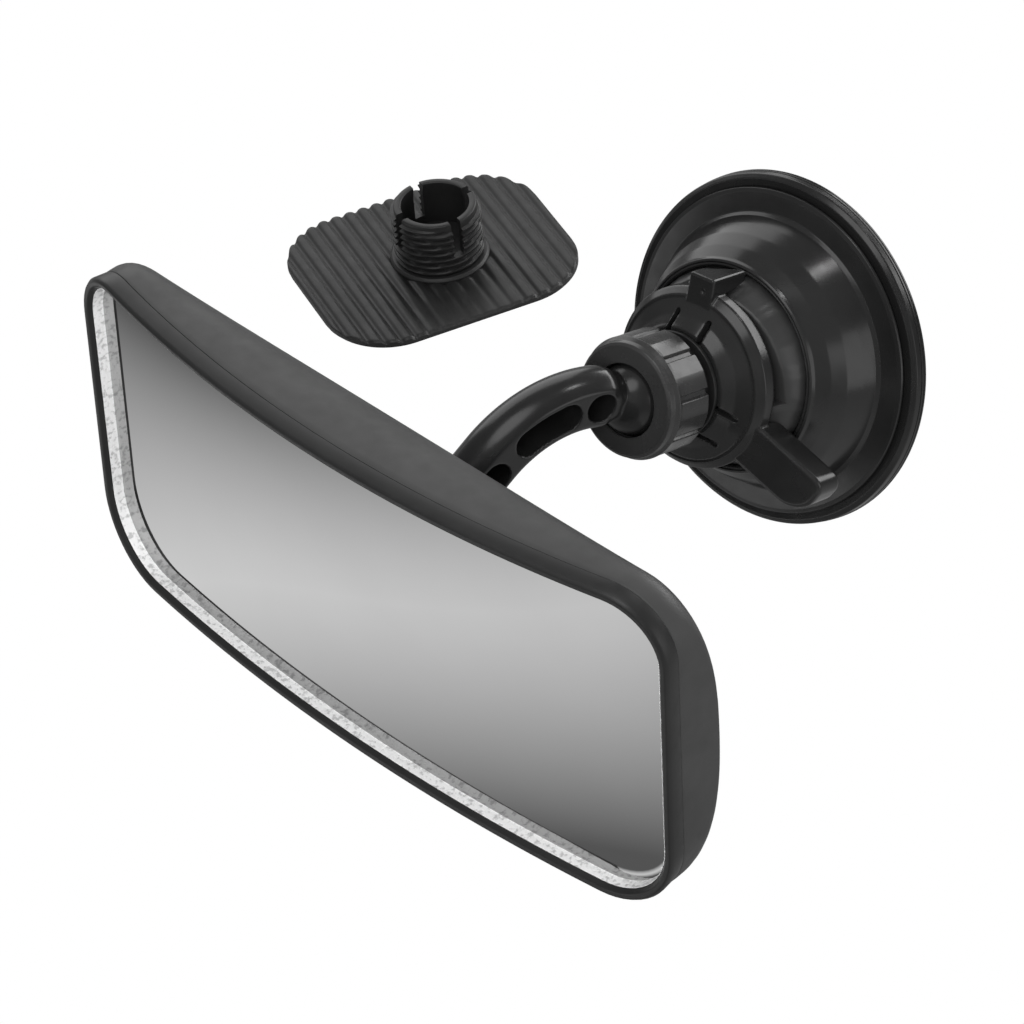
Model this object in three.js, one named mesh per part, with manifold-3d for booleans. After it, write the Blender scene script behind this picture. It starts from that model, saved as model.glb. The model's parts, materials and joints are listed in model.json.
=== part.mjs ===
// Interior rearview mirror on a twist-lock suction foot, with its spare stick-on base.
// Millimetres, +Z up, the mirror faces -Y. The model stands on Z = 0.
import * as THREE from "three";
import { mergeVertices } from "three/addons/utils/BufferGeometryUtils.js";
import Module from "manifold-3d";

const wasm = await Module();
wasm.setup();

// ---- Driving dimensions -------------------------------------------------

const GAP = 0.3; // clearance between touching pieces

// Mirror head. It is bent about a vertical line, more at its top than at its bottom.
const HEAD_LENGTH = 150.7;
const HEAD_HEIGHT = 69.5;
const HEAD_CORNER_TOP = 12.7;
const HEAD_CORNER_BOTTOM = 15.9;
const BEND_RADIUS_TOP = 297;
const BEND_RADIUS_BOTTOM = 457;
const SHELL_DEPTH = 19.4;
const SHELL_WALL = 1.5;
const SHELL_END_TAPER = 0.2; // how far the back face is in from each end
const SHELL_TOP_TAPER = 23.2; // and from the top edge
const SHELL_BOTTOM_TAPER = 40;
const SHELL_BACK_BOW = 2.6; // how far the back face's ends lie in front of its middle
const SHELL_BACK_CORNER = 8;
const SHELL_ROUNDNESS = 3.04; // exponent of the superellipse from rim to back face
const GLASS_FRONT = 1.8; // in front of the parting plane
const GLASS_THICKNESS = 3;
const GLASS_INSET = 2;
const BEZEL_STANDS = 3.7; // in front of the parting plane
const LIP_WIDTH = 2.2;
const FOAM_THICKNESS = 8.4;
const FOAM_ASIDE = 44; // its middle from the mirror's middle

// Ball joints
const BALL_RADIUS = 7;
const HEAD_BALL_BEHIND = 16; // ball centre behind the parting plane
const SOCKET_OUTER = 11.6;
const SOCKET_FLANGE = 15.5;
const LINER_OUTER = 9.9;

// Suction foot, along its own axis from the suction face
const CUP_RADIUS = 33.75;
const RUBBER_EDGE = 3.6;
const RIM_CHAMFER = 0.5;
const FLANGE_RADIUS = 31.2;
const FLANGE_TOP = 4.8;
const DOME_RADIUS = 26.1;
const COLLAR_RADIUS = 20;
const COLLAR_TOP = 17.4;
const POST_RADIUS = 6.4;
const CAM_FOOT_RADIUS = 18.7; // the tower narrows upwards
const CAM_TOP_RADIUS = 16.2;
const CAM_LOW = 20.4;
const CAM_RISE = 3;
const KNOB_RADIUS = 17.2;
const KNOB_BOTTOM = 24;
const KNOB_RIM_TOP = 26.7;
const KNOB_TOP = 31.3;
const NUT_BOTTOM = 35.3;
const NUT_TOP = 46.1;
const NUT_RADIUS = 11.5;
const NUT_FLUTES = 9;
const FOOT_BALL_HEIGHT = 42.8;
const THREAD_RADIUS = 9.2;
const THREAD_PITCH = 1.5;
const COLLET_BORE = 7.35;
const COLLET_SLOTS = 4;
const COLLET_SLOT_WIDTH = 2.2;

// Where the foot stands behind the head, and how it leans
const FOOT_BACK = 103.7;
const FOOT_ASIDE = 6.45;
const FOOT_LEAN = THREE.MathUtils.degToRad(19.1);
const FOOT_YAW = THREE.MathUtils.degToRad(3.9);

// Arm: two straight necks, tangent to one arch in a vertical plane
const ARCH_RADIUS = 23.8;
const ARCH_CENTRE_ALONG = 31.1; // from the head's ball
const ARCH_CENTRE_UP = -6.8;
const ARM_RADIUS = 5.6;
const HEAD_NECK_RADIUS = 3.1;
const FOOT_NECK_RADIUS = 4.2;

// Spare base
const BASE_LENGTH = 54.7;
const BASE_WIDTH = 45.7;
const BASE_CORNER = 14.1;
const BASE_THICKNESS = 0.8;
const PAD_THICKNESS = 0.6;
const BASE_RIB_PITCH = 3;
const BASE_RIB_HEIGHT = 0.5;
const BASE_POSITION = new THREE.Vector2(-95, 105.3);
const BASE_YAW = THREE.MathUtils.degToRad(70.8);
const BASE_COLLET_HEIGHT = 13.2;
const BASE_COLLET_ASIDE = 1.8; // its middle from the plate's middle

// ---- Colours ------------------------------------------------------------

const SATIN_BLACK = { color: 0x2b2b2d, roughness: 0.55, metalness: 0 };
const MATT_BLACK = { color: 0x353536, roughness: 0.75, metalness: 0 };
const GLOSS_BLACK = { color: 0x1c1c1e, roughness: 0.25, metalness: 0 };
const RUBBER_BLACK = { color: 0x18181a, roughness: 0.5, metalness: 0 };
const MIRROR = { color: 0xa8aaac, roughness: 0.05, metalness: 1 };
const FOAM = { color: 0x2e2e30, roughness: 0.95, metalness: 0 };
const STEEL = { color: 0xb0b2b5, roughness: 0.3, metalness: 1 };
const ACETAL = { color: 0xd8d8d2, roughness: 0.4, metalness: 0 };

// ---- Solid helpers ------------------------------------------------------

function toSolid(geometry) {
  const bare = new THREE.BufferGeometry();
  bare.setAttribute("position", geometry.getAttribute("position").clone());
  if (geometry.index) bare.setIndex(geometry.index.clone());
  const merged = mergeVertices(bare, 1e-4);
  const triVerts = new Uint32Array(merged.index.array);
  const vertProperties = new Float32Array(merged.attributes.position.array);
  return new wasm.Manifold(new wasm.Mesh({ numProp: 3, vertProperties, triVerts }));
}

function toGeometry(solid) {
  const mesh = solid.getMesh();
  const positions = new Float32Array(mesh.numVert * 3);
  for (let i = 0; i < mesh.numVert; i++) {
    for (let axis = 0; axis < 3; axis++) {
      positions[3 * i + axis] = mesh.vertProperties[mesh.numProp * i + axis];
    }
  }
  const geometry = new THREE.BufferGeometry();
  geometry.setAttribute("position", new THREE.BufferAttribute(positions, 3));
  geometry.setIndex(new THREE.BufferAttribute(new Uint32Array(mesh.triVerts), 1));
  geometry.computeVertexNormals();
  return geometry;
}

const cut = (body, ...tools) => tools.reduce((rest, tool) => rest.subtract(tool), body);
const join = (...bodies) => bodies.reduce((whole, next) => whole.add(next));

function part(name, shape, look) {
  const geometry = shape.isBufferGeometry ? shape : toGeometry(shape);
  const mesh = new THREE.Mesh(geometry, new THREE.MeshStandardMaterial(look));
  mesh.name = name;
  return mesh;
}

// A body of revolution about Z from a closed loop of [radius, height] points,
// given anticlockwise with the radius to the right.
function turned(profile, segments = 40) {
  const points = profile.map(([r, z]) => new THREE.Vector2(r, z));
  const open = profile[0][0] > 0 || profile[profile.length - 1][0] > 0;
  if (open) points.push(points[0].clone());
  const lathe = new THREE.LatheGeometry(points, segments);
  lathe.rotateX(Math.PI / 2);
  return toSolid(lathe);
}

function cylinder(radius, bottom, top, segments = 32) {
  return turned([[0, bottom], [radius, bottom], [radius, top], [0, top]], segments);
}

function block(x0, x1, y0, y1, z0, z1) {
  const box = new THREE.BoxGeometry(x1 - x0, y1 - y0, z1 - z0);
  box.translate((x0 + x1) / 2, (y0 + y1) / 2, (z0 + z1) / 2);
  return toSolid(box);
}

// Turns a solid made about Z so that it points along +Y, and moves it.
function alongY(solid, x, y, z) {
  return solid.rotate([-90, 0, 0]).translate([x, y, z]);
}

// Points of an arc about the origin, as [radius, height]; the angle is from +Z.
function sphereArc(radius, fromDeg, toDeg, steps) {
  const points = [];
  for (let i = 0; i <= steps; i++) {
    const angle = THREE.MathUtils.degToRad(fromDeg + ((toDeg - fromDeg) * i) / steps);
    points.push([radius * Math.sin(angle), radius * Math.cos(angle)]);
  }
  return points;
}

const raise = (profile, dz) => profile.map(([r, z]) => [r, z + dz]);

// Joins rings of equal point counts into one closed surface. "closed" joins the last ring
// to the first; otherwise each end ring is zipped shut between its two long sides.
function loft(rings, closed) {
  const count = rings[0].length;
  const positions = rings.flat().flatMap((p) => [p.x, p.y, p.z]);
  const index = [];
  const quad = (a, b, c, d) => index.push(a, b, c, a, c, d);
  const last = closed ? rings.length : rings.length - 1;
  for (let k = 0; k < last; k++) {
    const here = k * count;
    const next = ((k + 1) % rings.length) * count;
    for (let i = 0; i < count; i++) {
      const j = (i + 1) % count;
      quad(here + i, here + j, next + j, next + i);
    }
  }
  if (!closed) {
    zip(index, 0, count, false);
    zip(index, (rings.length - 1) * count, count, true);
  }
  const geometry = new THREE.BufferGeometry();
  geometry.setAttribute("position", new THREE.Float32BufferAttribute(positions, 3));
  geometry.setIndex(index);
  const solid = toSolid(geometry);
  return solid.volume() < 0 ? toSolid(flipped(geometry)) : solid;
}

function flipped(geometry) {
  const turnedRound = geometry.clone();
  const index = Array.from(geometry.index.array);
  for (let i = 0; i < index.length; i += 3) {
    [index[i + 1], index[i + 2]] = [index[i + 2], index[i + 1]];
  }
  turnedRound.setIndex(index);
  return turnedRound;
}

// Closes a ring whose point i lies across from point count - i.
function zip(index, start, count, forward) {
  const triangle = (a, b, c) => index.push(...(forward ? [a, b, c] : [a, c, b]).map((v) => v + start));
  for (let i = 0; i < count / 2; i++) {
    const across = (count - i) % count;
    const nextAcross = count - i - 1;
    if (i > 0) triangle(i, i + 1, across);
    if (i + 1 < nextAcross) triangle(i + 1, nextAcross, across);
  }
}

// ---- Mirror head --------------------------------------------------------

const EDGE_STEPS = 14;
const SIDE_STEPS = 2;
const CORNER_STEPS = 4;

// A rounded rectangle in X and Z, starting at its right end and going up. Point i lies
// across from point count - i.
function outline(length, height, cornerTop, cornerBottom) {
  const half = (radius, up) => {
    const points = [];
    const side = height / 2 - radius;
    const top = length / 2 - radius;
    for (let i = 0; i < SIDE_STEPS; i++) points.push([length / 2, (side * i) / SIDE_STEPS]);
    for (let i = 0; i < CORNER_STEPS; i++) {
      const angle = (Math.PI / 2) * (i / CORNER_STEPS);
      points.push([top + radius * Math.cos(angle), side + radius * Math.sin(angle)]);
    }
    for (let i = 0; i <= EDGE_STEPS / 2; i++) points.push([top * (1 - (2 * i) / EDGE_STEPS), height / 2]);
    const mirrored = points.slice(0, -1).reverse().map(([x, z]) => [-x, z]);
    return [...points, ...mirrored].map(([x, z]) => [x, up * z]);
  };
  const upper = half(cornerTop, 1);
  const lower = half(cornerBottom, -1).slice(1, -1).reverse();
  return [...upper, ...lower];
}

function headOutline(inset) {
  const corner = (radius) => Math.max(radius - inset, 1);
  return outline(
    HEAD_LENGTH - 2 * inset,
    HEAD_HEIGHT - 2 * inset,
    corner(HEAD_CORNER_TOP),
    corner(HEAD_CORNER_BOTTOM),
  );
}

// Bends a point of the flat head. forward is its distance in front of the parting plane.
function bent(x, z, forward) {
  const share = THREE.MathUtils.clamp(0.5 + z / HEAD_HEIGHT, 0, 1);
  const curvature = share / BEND_RADIUS_TOP + (1 - share) / BEND_RADIUS_BOTTOM;
  const angle = x * curvature;
  const reach = 1 / curvature + forward;
  return new THREE.Vector3(Math.sin(angle) * reach, 1 / curvature - Math.cos(angle) * reach, z);
}

const bentRing = (inset, forward) => headOutline(inset).map(([x, z]) => bent(x, z, forward));

// One ring of the shell's pillow-shaped skin; turn runs from 0 at the rim to 1 at the back.
function shellRing(turn, wall) {
  const angle = (turn * Math.PI) / 2;
  const power = 2 / SHELL_ROUNDNESS;
  const back = Math.pow(Math.sin(angle), power);
  const inwards = 1 - Math.pow(Math.max(Math.cos(angle), 0), power);
  const top = HEAD_HEIGHT / 2 - wall - SHELL_TOP_TAPER * inwards;
  const bottom = wall + SHELL_BOTTOM_TAPER * inwards - HEAD_HEIGHT / 2;
  const height = top - bottom;
  const length = HEAD_LENGTH - 2 * wall - 2 * SHELL_END_TAPER * inwards;
  const corner = (radius) => {
    const grown = radius - wall + (SHELL_BACK_CORNER - radius) * inwards;
    return Math.min(grown, height / 2 - 0.5);
  };
  const ring = outline(length, height, corner(HEAD_CORNER_TOP), corner(HEAD_CORNER_BOTTOM));
  return ring.map(([x, fromMiddle]) => {
    const z = fromMiddle + (top + bottom) / 2;
    const front = bent(x, z, 0);
    const sweep = -SHELL_BACK_BOW * (x / (HEAD_LENGTH / 2)) ** 2;
    const rear = new THREE.Vector3(x, SHELL_DEPTH - wall + sweep, z);
    return front.lerp(rear, back);
  });
}

const SHELL_TURNS = [0, 0.16, 0.34, 0.54, 0.76, 1];
const BOSS_PLACES = [[-21, -10], [21, -10], [-21, 10], [21, 10]];
const PLATE_FRONT = 6;
const PLATE_THICKNESS = 1;
const SCREW_RADIUS = 1.2;
const BOSS_START = PLATE_FRONT + PLATE_THICKNESS + GAP;
const BOSS_HEIGHT = SHELL_DEPTH - 0.8 * SHELL_WALL - BOSS_START; // it ends inside the skin
const BOSS_RADIUS = 3;
const PILOT_DEPTH = 2.7;

function rearShell() {
  const outside = SHELL_TURNS.map((turn) => shellRing(turn, 0));
  const inside = SHELL_TURNS.map((turn) => shellRing(turn, SHELL_WALL)).reverse();
  const skin = loft([...inside, ...outside], false);
  const bosses = BOSS_PLACES.map(([x, z]) => {
    const boss = turned([
      [SCREW_RADIUS + 0.2, 0],
      [BOSS_RADIUS, 0],
      [BOSS_RADIUS, BOSS_HEIGHT],
      [0, BOSS_HEIGHT],
      [0, PILOT_DEPTH],
      [SCREW_RADIUS + 0.2, PILOT_DEPTH],
    ], 16);
    return alongY(boss, x, BOSS_START, z);
  });
  const mouth = alongY(cylinder(SOCKET_OUTER + GAP, -8, 8), 0, SHELL_DEPTH, 0);
  return cut(join(skin, ...bosses), mouth);
}

function frontBezel() {
  const wall = GLASS_INSET - 0.35;
  const section = [
    [0, GAP],
    [0, BEZEL_STANDS - 0.8],
    [0.4, BEZEL_STANDS - 0.2],
    [1, BEZEL_STANDS],
    [1.7, BEZEL_STANDS - 0.4],
    [LIP_WIDTH, BEZEL_STANDS - 1.1],
    [LIP_WIDTH, GLASS_FRONT + GAP],
    [wall, GLASS_FRONT + GAP],
    [wall, GAP],
  ];
  return loft(section.map(([inset, forward]) => bentRing(inset, forward)), true);
}

function mirrorGlass() {
  const rings = [
    bentRing(GLASS_INSET, GLASS_FRONT - GLASS_THICKNESS),
    bentRing(GLASS_INSET, GLASS_FRONT),
  ];
  return loft(rings, false);
}

function foamPad(side) {
  const front = GLASS_FRONT - GLASS_THICKNESS - GAP;
  const pad = outline(32, 26, 4, 4);
  const ring = (forward) => pad.map(([x, z]) => bent(side * FOAM_ASIDE + x, z, forward));
  return loft([ring(front - FOAM_THICKNESS), ring(front)], false);
}

function retainerPlate() {
  const shape = new THREE.Shape();
  const halfX = 26;
  const halfZ = 15;
  const corner = 4;
  shape.moveTo(halfX - corner, -halfZ);
  shape.absarc(halfX - corner, corner - halfZ, corner, -Math.PI / 2, 0);
  shape.absarc(halfX - corner, halfZ - corner, corner, 0, Math.PI / 2);
  shape.absarc(corner - halfX, halfZ - corner, corner, Math.PI / 2, Math.PI);
  shape.absarc(corner - halfX, corner - halfZ, corner, Math.PI, 1.5 * Math.PI);
  for (const [x, z] of BOSS_PLACES) {
    const hole = new THREE.Path();
    hole.absarc(x, z, SCREW_RADIUS + 0.2, 0, 2 * Math.PI, true);
    shape.holes.push(hole);
  }
  const flat = new THREE.ExtrudeGeometry(shape, {
    depth: PLATE_THICKNESS,
    bevelEnabled: false,
    curveSegments: 5,
  });
  flat.rotateX(Math.PI / 2);
  flat.translate(0, PLATE_FRONT + PLATE_THICKNESS, 0);
  return toSolid(flat);
}

function plateScrew([x, z]) {
  const screw = turned([
    [0, -0.9],
    [2, -0.9],
    [2.5, -0.5],
    [2.5, -0.05],
    [SCREW_RADIUS, -0.05],
    [SCREW_RADIUS, 3.6],
    [0, 3.6],
  ], 16);
  return alongY(screw, x, PLATE_FRONT, z);
}

// The socket, its liner and the pressure cup are turned about the ball's centre, with
// their mouth towards +Z, and then laid along +Y.
const atHeadBall = (solid) => alongY(solid, 0, HEAD_BALL_BEHIND, 0);

function socketCup() {
  const bottom = -8.7;
  return atHeadBall(turned([
    [LINER_OUTER + 0.2, bottom],
    [SOCKET_FLANGE, bottom],
    [SOCKET_FLANGE, bottom + 2.7],
    [SOCKET_OUTER, bottom + 2.7],
    [SOCKET_OUTER, 3.6],
    [SOCKET_OUTER - 0.7, 4.3],
    [9.3, 4.3],
    [9.1, 3.5],
    [LINER_OUTER + 0.2, 3.5],
  ], 32));
}

function socketLiner() {
  return atHeadBall(turned([
    [5.3, -6.8],
    [LINER_OUTER, -6.8],
    [LINER_OUTER, 2.6],
    [9.3, 3.2],
    [8.4, 3.2],
    ...sphereArc(BALL_RADIUS + 0.2, 72, 104, 5),
    ...sphereArc(8.6, 105, 142, 4),
  ], 32));
}

function pressureCup() {
  return atHeadBall(turned([
    ...sphereArc(8.35, 180, 142, 5),
    ...sphereArc(BALL_RADIUS + 0.2, 142, 180, 5),
  ], 28));
}

function pressureSpring() {
  const plateBack = PLATE_FRONT + PLATE_THICKNESS - HEAD_BALL_BEHIND;
  return atHeadBall(turned([
    [2.4, plateBack + 0.25],
    [7.4, plateBack + 0.12],
    [7.4, plateBack + 0.32],
    [2.4, plateBack + 0.5],
  ], 28));
}

// ---- Foot ---------------------------------------------------------------

function suctionRubber() {
  return turned([
    [0, 1.6],
    [16, 1.3],
    [26, 0],
    [CUP_RADIUS - 0.4, 0],
    [CUP_RADIUS, RIM_CHAMFER],
    [CUP_RADIUS, 1.5],
    [CUP_RADIUS - 1, RUBBER_EDGE],
    [FLANGE_RADIUS - 0.8, 3.3],
    [FLANGE_RADIUS - 3.2, 3.3],
    [20, 4],
    [0, 4.6],
  ], 40);
}

const SLEEVE_RADIUS = 8.6;

function domeHousing() {
  return turned([
    [POST_RADIUS + GAP, 10.5],
    [SLEEVE_RADIUS, 10.5],
    [SLEEVE_RADIUS, 14.2],
    [16.4, 14.2],
    [21.6, 9.6],
    [24, 5.6],
    [24.4, 4.3],
    [FLANGE_RADIUS - 3.4, 3.6],
    [FLANGE_RADIUS - 0.5, 3.6],
    [FLANGE_RADIUS, 4],
    [FLANGE_RADIUS - 0.3, 4.5],
    [DOME_RADIUS + 0.2, FLANGE_TOP],
    [25.2, 7.9],
    [23.9, 11],
    [22.2, 14],
    [COLLAR_RADIUS + 0.2, 16.6],
    [COLLAR_RADIUS, COLLAR_TOP],
    [COLLAR_RADIUS - 1, COLLAR_TOP],
    [COLLAR_RADIUS - 1, 16.2],
    [SLEEVE_RADIUS, 16.2],
    [SLEEVE_RADIUS, 23],
    [POST_RADIUS + GAP, 23],
  ], 40);
}

const CAM_BOTTOM = 16.5;
const CAM_INNER = 12.4;
const CAM_RAMPS = 3;
const CAM_FACETS = 18;

function camOuter(z) {
  const share = (z - COLLAR_TOP) / (CAM_LOW + CAM_RISE - COLLAR_TOP);
  return CAM_FOOT_RADIUS + (CAM_TOP_RADIUS - CAM_FOOT_RADIUS) * share;
}

// A faceted tower whose top edge is cut into equal ramps.
function camRing() {
  const steps = 12; // along one ramp
  const jump = THREE.MathUtils.degToRad(2);
  const rampTurn = (2 * Math.PI) / CAM_RAMPS;
  const rings = [];
  for (let ramp = 0; ramp < CAM_RAMPS; ramp++) {
    for (let i = 0; i <= steps; i++) {
      const share = i / steps;
      const angle = ramp * rampTurn + share * (rampTurn - jump);
      const top = CAM_LOW + CAM_RISE * Math.min(share / 0.8, 1);
      const facet = (2 * Math.PI) / CAM_FACETS;
      const off = ((angle % facet) + facet) % facet - facet / 2;
      const flat = Math.cos(facet / 2) / Math.cos(off);
      const at = (r, z) => new THREE.Vector3(r * Math.cos(angle), r * Math.sin(angle), z);
      rings.push([
        at(CAM_INNER, CAM_BOTTOM),
        at(CAM_FOOT_RADIUS * flat, CAM_BOTTOM),
        at(CAM_FOOT_RADIUS * flat, COLLAR_TOP),
        at(camOuter(top) * flat, top),
        at(CAM_INNER, top),
      ]);
    }
  }
  return loft(rings, true);
}

const LEVER_ANGLE = THREE.MathUtils.degToRad(-26.5);
const LEVER_REACH = 32.2;
const LEVER_WIDTH = 9.4;
const LEVER_DEPTH = 6.4;
const LEVER_BEVEL = 0.6;
const LEVER_TOP = 31; // where its face would meet the axis
const LEVER_SLOPE = 0.24; // it falls towards the cup
const TAB_ANGLE_DEG = 92;
const TAB_HALF = 2.8;
const TAB_REACH = 20.4;
const TONGUES = 3;
const LUG_ANGLE_DEG = 6; // each lug waits at the low end of a ramp

// The grip bar, seen along the axis, with its end rounded more on one side.
function leverBar() {
  const shape = new THREE.Shape();
  const half = LEVER_WIDTH / 2;
  const wide = 5.6;
  const narrow = 2.6;
  const start = 11;
  shape.moveTo(start, -half);
  shape.lineTo(LEVER_REACH - wide, -half);
  shape.absarc(LEVER_REACH - wide, wide - half, wide, -Math.PI / 2, 0);
  shape.absarc(LEVER_REACH - narrow, half - narrow, narrow, 0, Math.PI / 2);
  shape.lineTo(start, half);
  const bar = new THREE.ExtrudeGeometry(shape, {
    depth: LEVER_DEPTH - 2 * LEVER_BEVEL,
    bevelThickness: LEVER_BEVEL,
    bevelSize: LEVER_BEVEL,
    bevelOffset: -LEVER_BEVEL,
    bevelSegments: 1,
    curveSegments: 5,
  });
  const rise = LEVER_TOP - LEVER_DEPTH + LEVER_BEVEL;
  bar.applyMatrix4(new THREE.Matrix4().set(1, 0, 0, 0, 0, 1, 0, 0, -LEVER_SLOPE, 0, 1, rise, 0, 0, 0, 1));
  bar.rotateZ(LEVER_ANGLE);
  return toSolid(bar);
}

// The space that the tower needs as the lever turns over it.
function towerSpace() {
  const top = KNOB_BOTTOM - 0.2;
  return turned([
    [0, 0],
    [camOuter(COLLAR_TOP) + 0.4, 0],
    [camOuter(COLLAR_TOP) + 0.4, COLLAR_TOP],
    [camOuter(top) + 0.4, top],
    [0, top],
  ], 48);
}

// A stop finger at the knob's rim that reaches back over the tower and narrows to one side.
function leverTab() {
  const top = KNOB_RIM_TOP + 1.7;
  const shape = new THREE.Shape();
  shape.moveTo(TAB_HALF, top);
  shape.lineTo(-TAB_HALF, top);
  shape.lineTo(-TAB_HALF, COLLAR_TOP + 1.2);
  shape.lineTo(-TAB_HALF + 0.8, COLLAR_TOP + 1.2);
  shape.lineTo(TAB_HALF, KNOB_BOTTOM + 1);
  const finger = new THREE.ExtrudeGeometry(shape, { depth: TAB_REACH - 17, bevelEnabled: false });
  const across = new THREE.Vector3(0, 1, 0);
  const along = new THREE.Vector3(0, 0, 1);
  const outwards = new THREE.Vector3(1, 0, 0);
  finger.applyMatrix4(new THREE.Matrix4().makeBasis(across, along, outwards));
  finger.translate(17, 0, 0);
  const root = block(13.5, 17.4, -TAB_HALF, TAB_HALF, KNOB_BOTTOM + 1, top);
  return join(toSolid(finger), root).rotate([0, 0, TAB_ANGLE_DEG]);
}

function leverLug() {
  const bottom = CAM_LOW + 0.65;
  const ring = turned([[12.8, bottom], [15.2, bottom], [15.2, 25.5], [12.8, 27.5]], 36);
  return ring.intersect(block(0, 20, -1, 1, 20, 30)).rotate([0, 0, LUG_ANGLE_DEG]);
}

function lockLever() {
  const knob = turned([
    [9.2, KNOB_BOTTOM + 0.6],
    [11, KNOB_BOTTOM + 0.6],
    [11, 28],
    [14.6, 26.2],
    [15.6, KNOB_BOTTOM],
    [KNOB_RADIUS, KNOB_BOTTOM],
    [KNOB_RADIUS, KNOB_RIM_TOP],
    [15.5, 28],
    [12.6, 29.4],
    [11, KNOB_TOP - 0.6],
    [10.4, KNOB_TOP],
    [9.2, KNOB_TOP],
  ], 36);
  const slots = [];
  const lugs = [];
  for (let i = 0; i < TONGUES; i++) {
    const turn = (360 * i) / TONGUES;
    for (const side of [-3.6, 3.6]) {
      slots.push(block(8, 13, side - 0.55, side + 0.55, 26, 33).rotate([0, 0, TAB_ANGLE_DEG + turn]));
    }
    lugs.push(leverLug().rotate([0, 0, turn]));
  }
  const handle = cut(join(leverBar(), leverTab()), towerSpace());
  return join(cut(knob, ...slots), handle, ...lugs);
}

// Threaded spring fingers round a ball socket, standing on z = 0 and open at the top.
function collet({ height, boreDepth, slotDepth, slotTurn, threadBottom }) {
  const profile = [[0, 0], [THREAD_RADIUS - 0.7, 0]];
  const turns = Math.floor((height - 2.2 - threadBottom) / THREAD_PITCH);
  for (let i = 0; i < turns; i++) {
    const z = threadBottom + i * THREAD_PITCH;
    profile.push([THREAD_RADIUS - 0.7, z]);
    profile.push([THREAD_RADIUS, z + 0.35]);
    profile.push([THREAD_RADIUS, z + 0.75]);
    profile.push([THREAD_RADIUS - 0.7, z + 1.1]);
  }
  profile.push([THREAD_RADIUS - 0.7, height - 0.3]);
  profile.push([THREAD_RADIUS - 0.9, height]);
  profile.push([COLLET_BORE - 0.3, height]);
  profile.push([COLLET_BORE - 0.4, height - 0.6]);
  profile.push([COLLET_BORE, height - 2.6]);
  profile.push([COLLET_BORE, height - boreDepth]);
  profile.push([0, height - boreDepth]);
  const slots = [];
  for (let i = 0; i < COLLET_SLOTS / 2; i++) {
    const half = COLLET_SLOT_WIDTH / 2;
    slots.push(block(-12, 12, -half, half, height - slotDepth, height + 1).rotate([0, 0, slotTurn + 90 * i]));
  }
  return cut(turned(profile, 24), ...slots);
}

const POST_BOTTOM = 7.6;
const POST_SHOULDER = KNOB_BOTTOM;

function postCollet() {
  const flange = KNOB_TOP + GAP;
  const top = FOOT_BALL_HEIGHT + 2.2;
  const boreBottom = 33.8;
  const fingers = collet({
    height: top - flange,
    boreDepth: top - boreBottom,
    slotDepth: 7.6,
    slotTurn: 30,
    threadBottom: NUT_BOTTOM - flange,
  }).translate([0, 0, flange]);
  const stem = turned([
    [1.9, POST_BOTTOM],
    [POST_RADIUS, POST_BOTTOM],
    [POST_RADIUS, POST_SHOULDER],
    [8.9, POST_SHOULDER],
    [8.9, flange],
    [10, flange],
    [10, flange + 0.8],
    [0, flange + 0.8],
    [0, 16],
    [1.9, 16],
  ], 24);
  return join(stem, fingers);
}

function clampNut() {
  const shape = new THREE.Shape();
  const turnStep = (2 * Math.PI) / NUT_FLUTES;
  const groove = 0.07;
  for (let i = 0; i < NUT_FLUTES; i++) {
    const start = (i + 0.5) * turnStep;
    shape.absarc(0, 0, NUT_RADIUS - 0.5, start - groove * 0.4, start + groove * 0.4);
    shape.absarc(0, 0, NUT_RADIUS, start + groove, start + turnStep - groove);
  }
  const depth = NUT_TOP - NUT_BOTTOM - 1.2;
  const body = new THREE.ExtrudeGeometry(shape, {
    depth,
    bevelThickness: 0.6,
    bevelSize: 0.7,
    bevelOffset: -0.7,
    bevelSegments: 1,
    curveSegments: 2,
  });
  body.translate(0, 0, NUT_BOTTOM + 0.6);
  const bore = turned([
    [0, NUT_BOTTOM - 1],
    [THREAD_RADIUS + 0.2, NUT_BOTTOM - 1],
    [THREAD_RADIUS + 0.2, NUT_TOP - 1.2],
    [6.9, NUT_TOP - 0.6],
    [6.9, NUT_TOP + 1],
    [0, NUT_TOP + 1],
  ], 36);
  return cut(toSolid(body), bore);
}

const SEAT_CUP_INNER = 7.85;

function seatCup() {
  const bottom = -8.7;
  return turned(raise([
    [0, bottom],
    [COLLET_BORE - 2, bottom],
    [COLLET_BORE - 0.2, -6.8],
    [COLLET_BORE - 0.2, -3.5],
    ...sphereArc(SEAT_CUP_INNER, 116, 180, 6),
  ], FOOT_BALL_HEIGHT), 28);
}

function seatPad() {
  return turned(raise([
    ...sphereArc(7.7, 180, 158, 4),
    ...sphereArc(BALL_RADIUS + 0.12, 158, 180, 4),
  ], FOOT_BALL_HEIGHT), 24);
}

function liftDisc() {
  return turned([
    [1.9, 4.9 + 1.4],
    [3.8, 4.9 + 1.4],
    [3.8, 4.9],
    [13, 4.9],
    [13, 6.4],
    [6.6, 7.3],
    [1.9, 7.3],
  ], 36);
}

function stemScrew() {
  return turned([[0, 4.95], [3.4, 4.95], [3.4, 6], [1.6, 6], [1.6, 15.4], [0, 15.4]], 20);
}

// ---- Arm ----------------------------------------------------------------

const ARCH_STEPS = 12;

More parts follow.
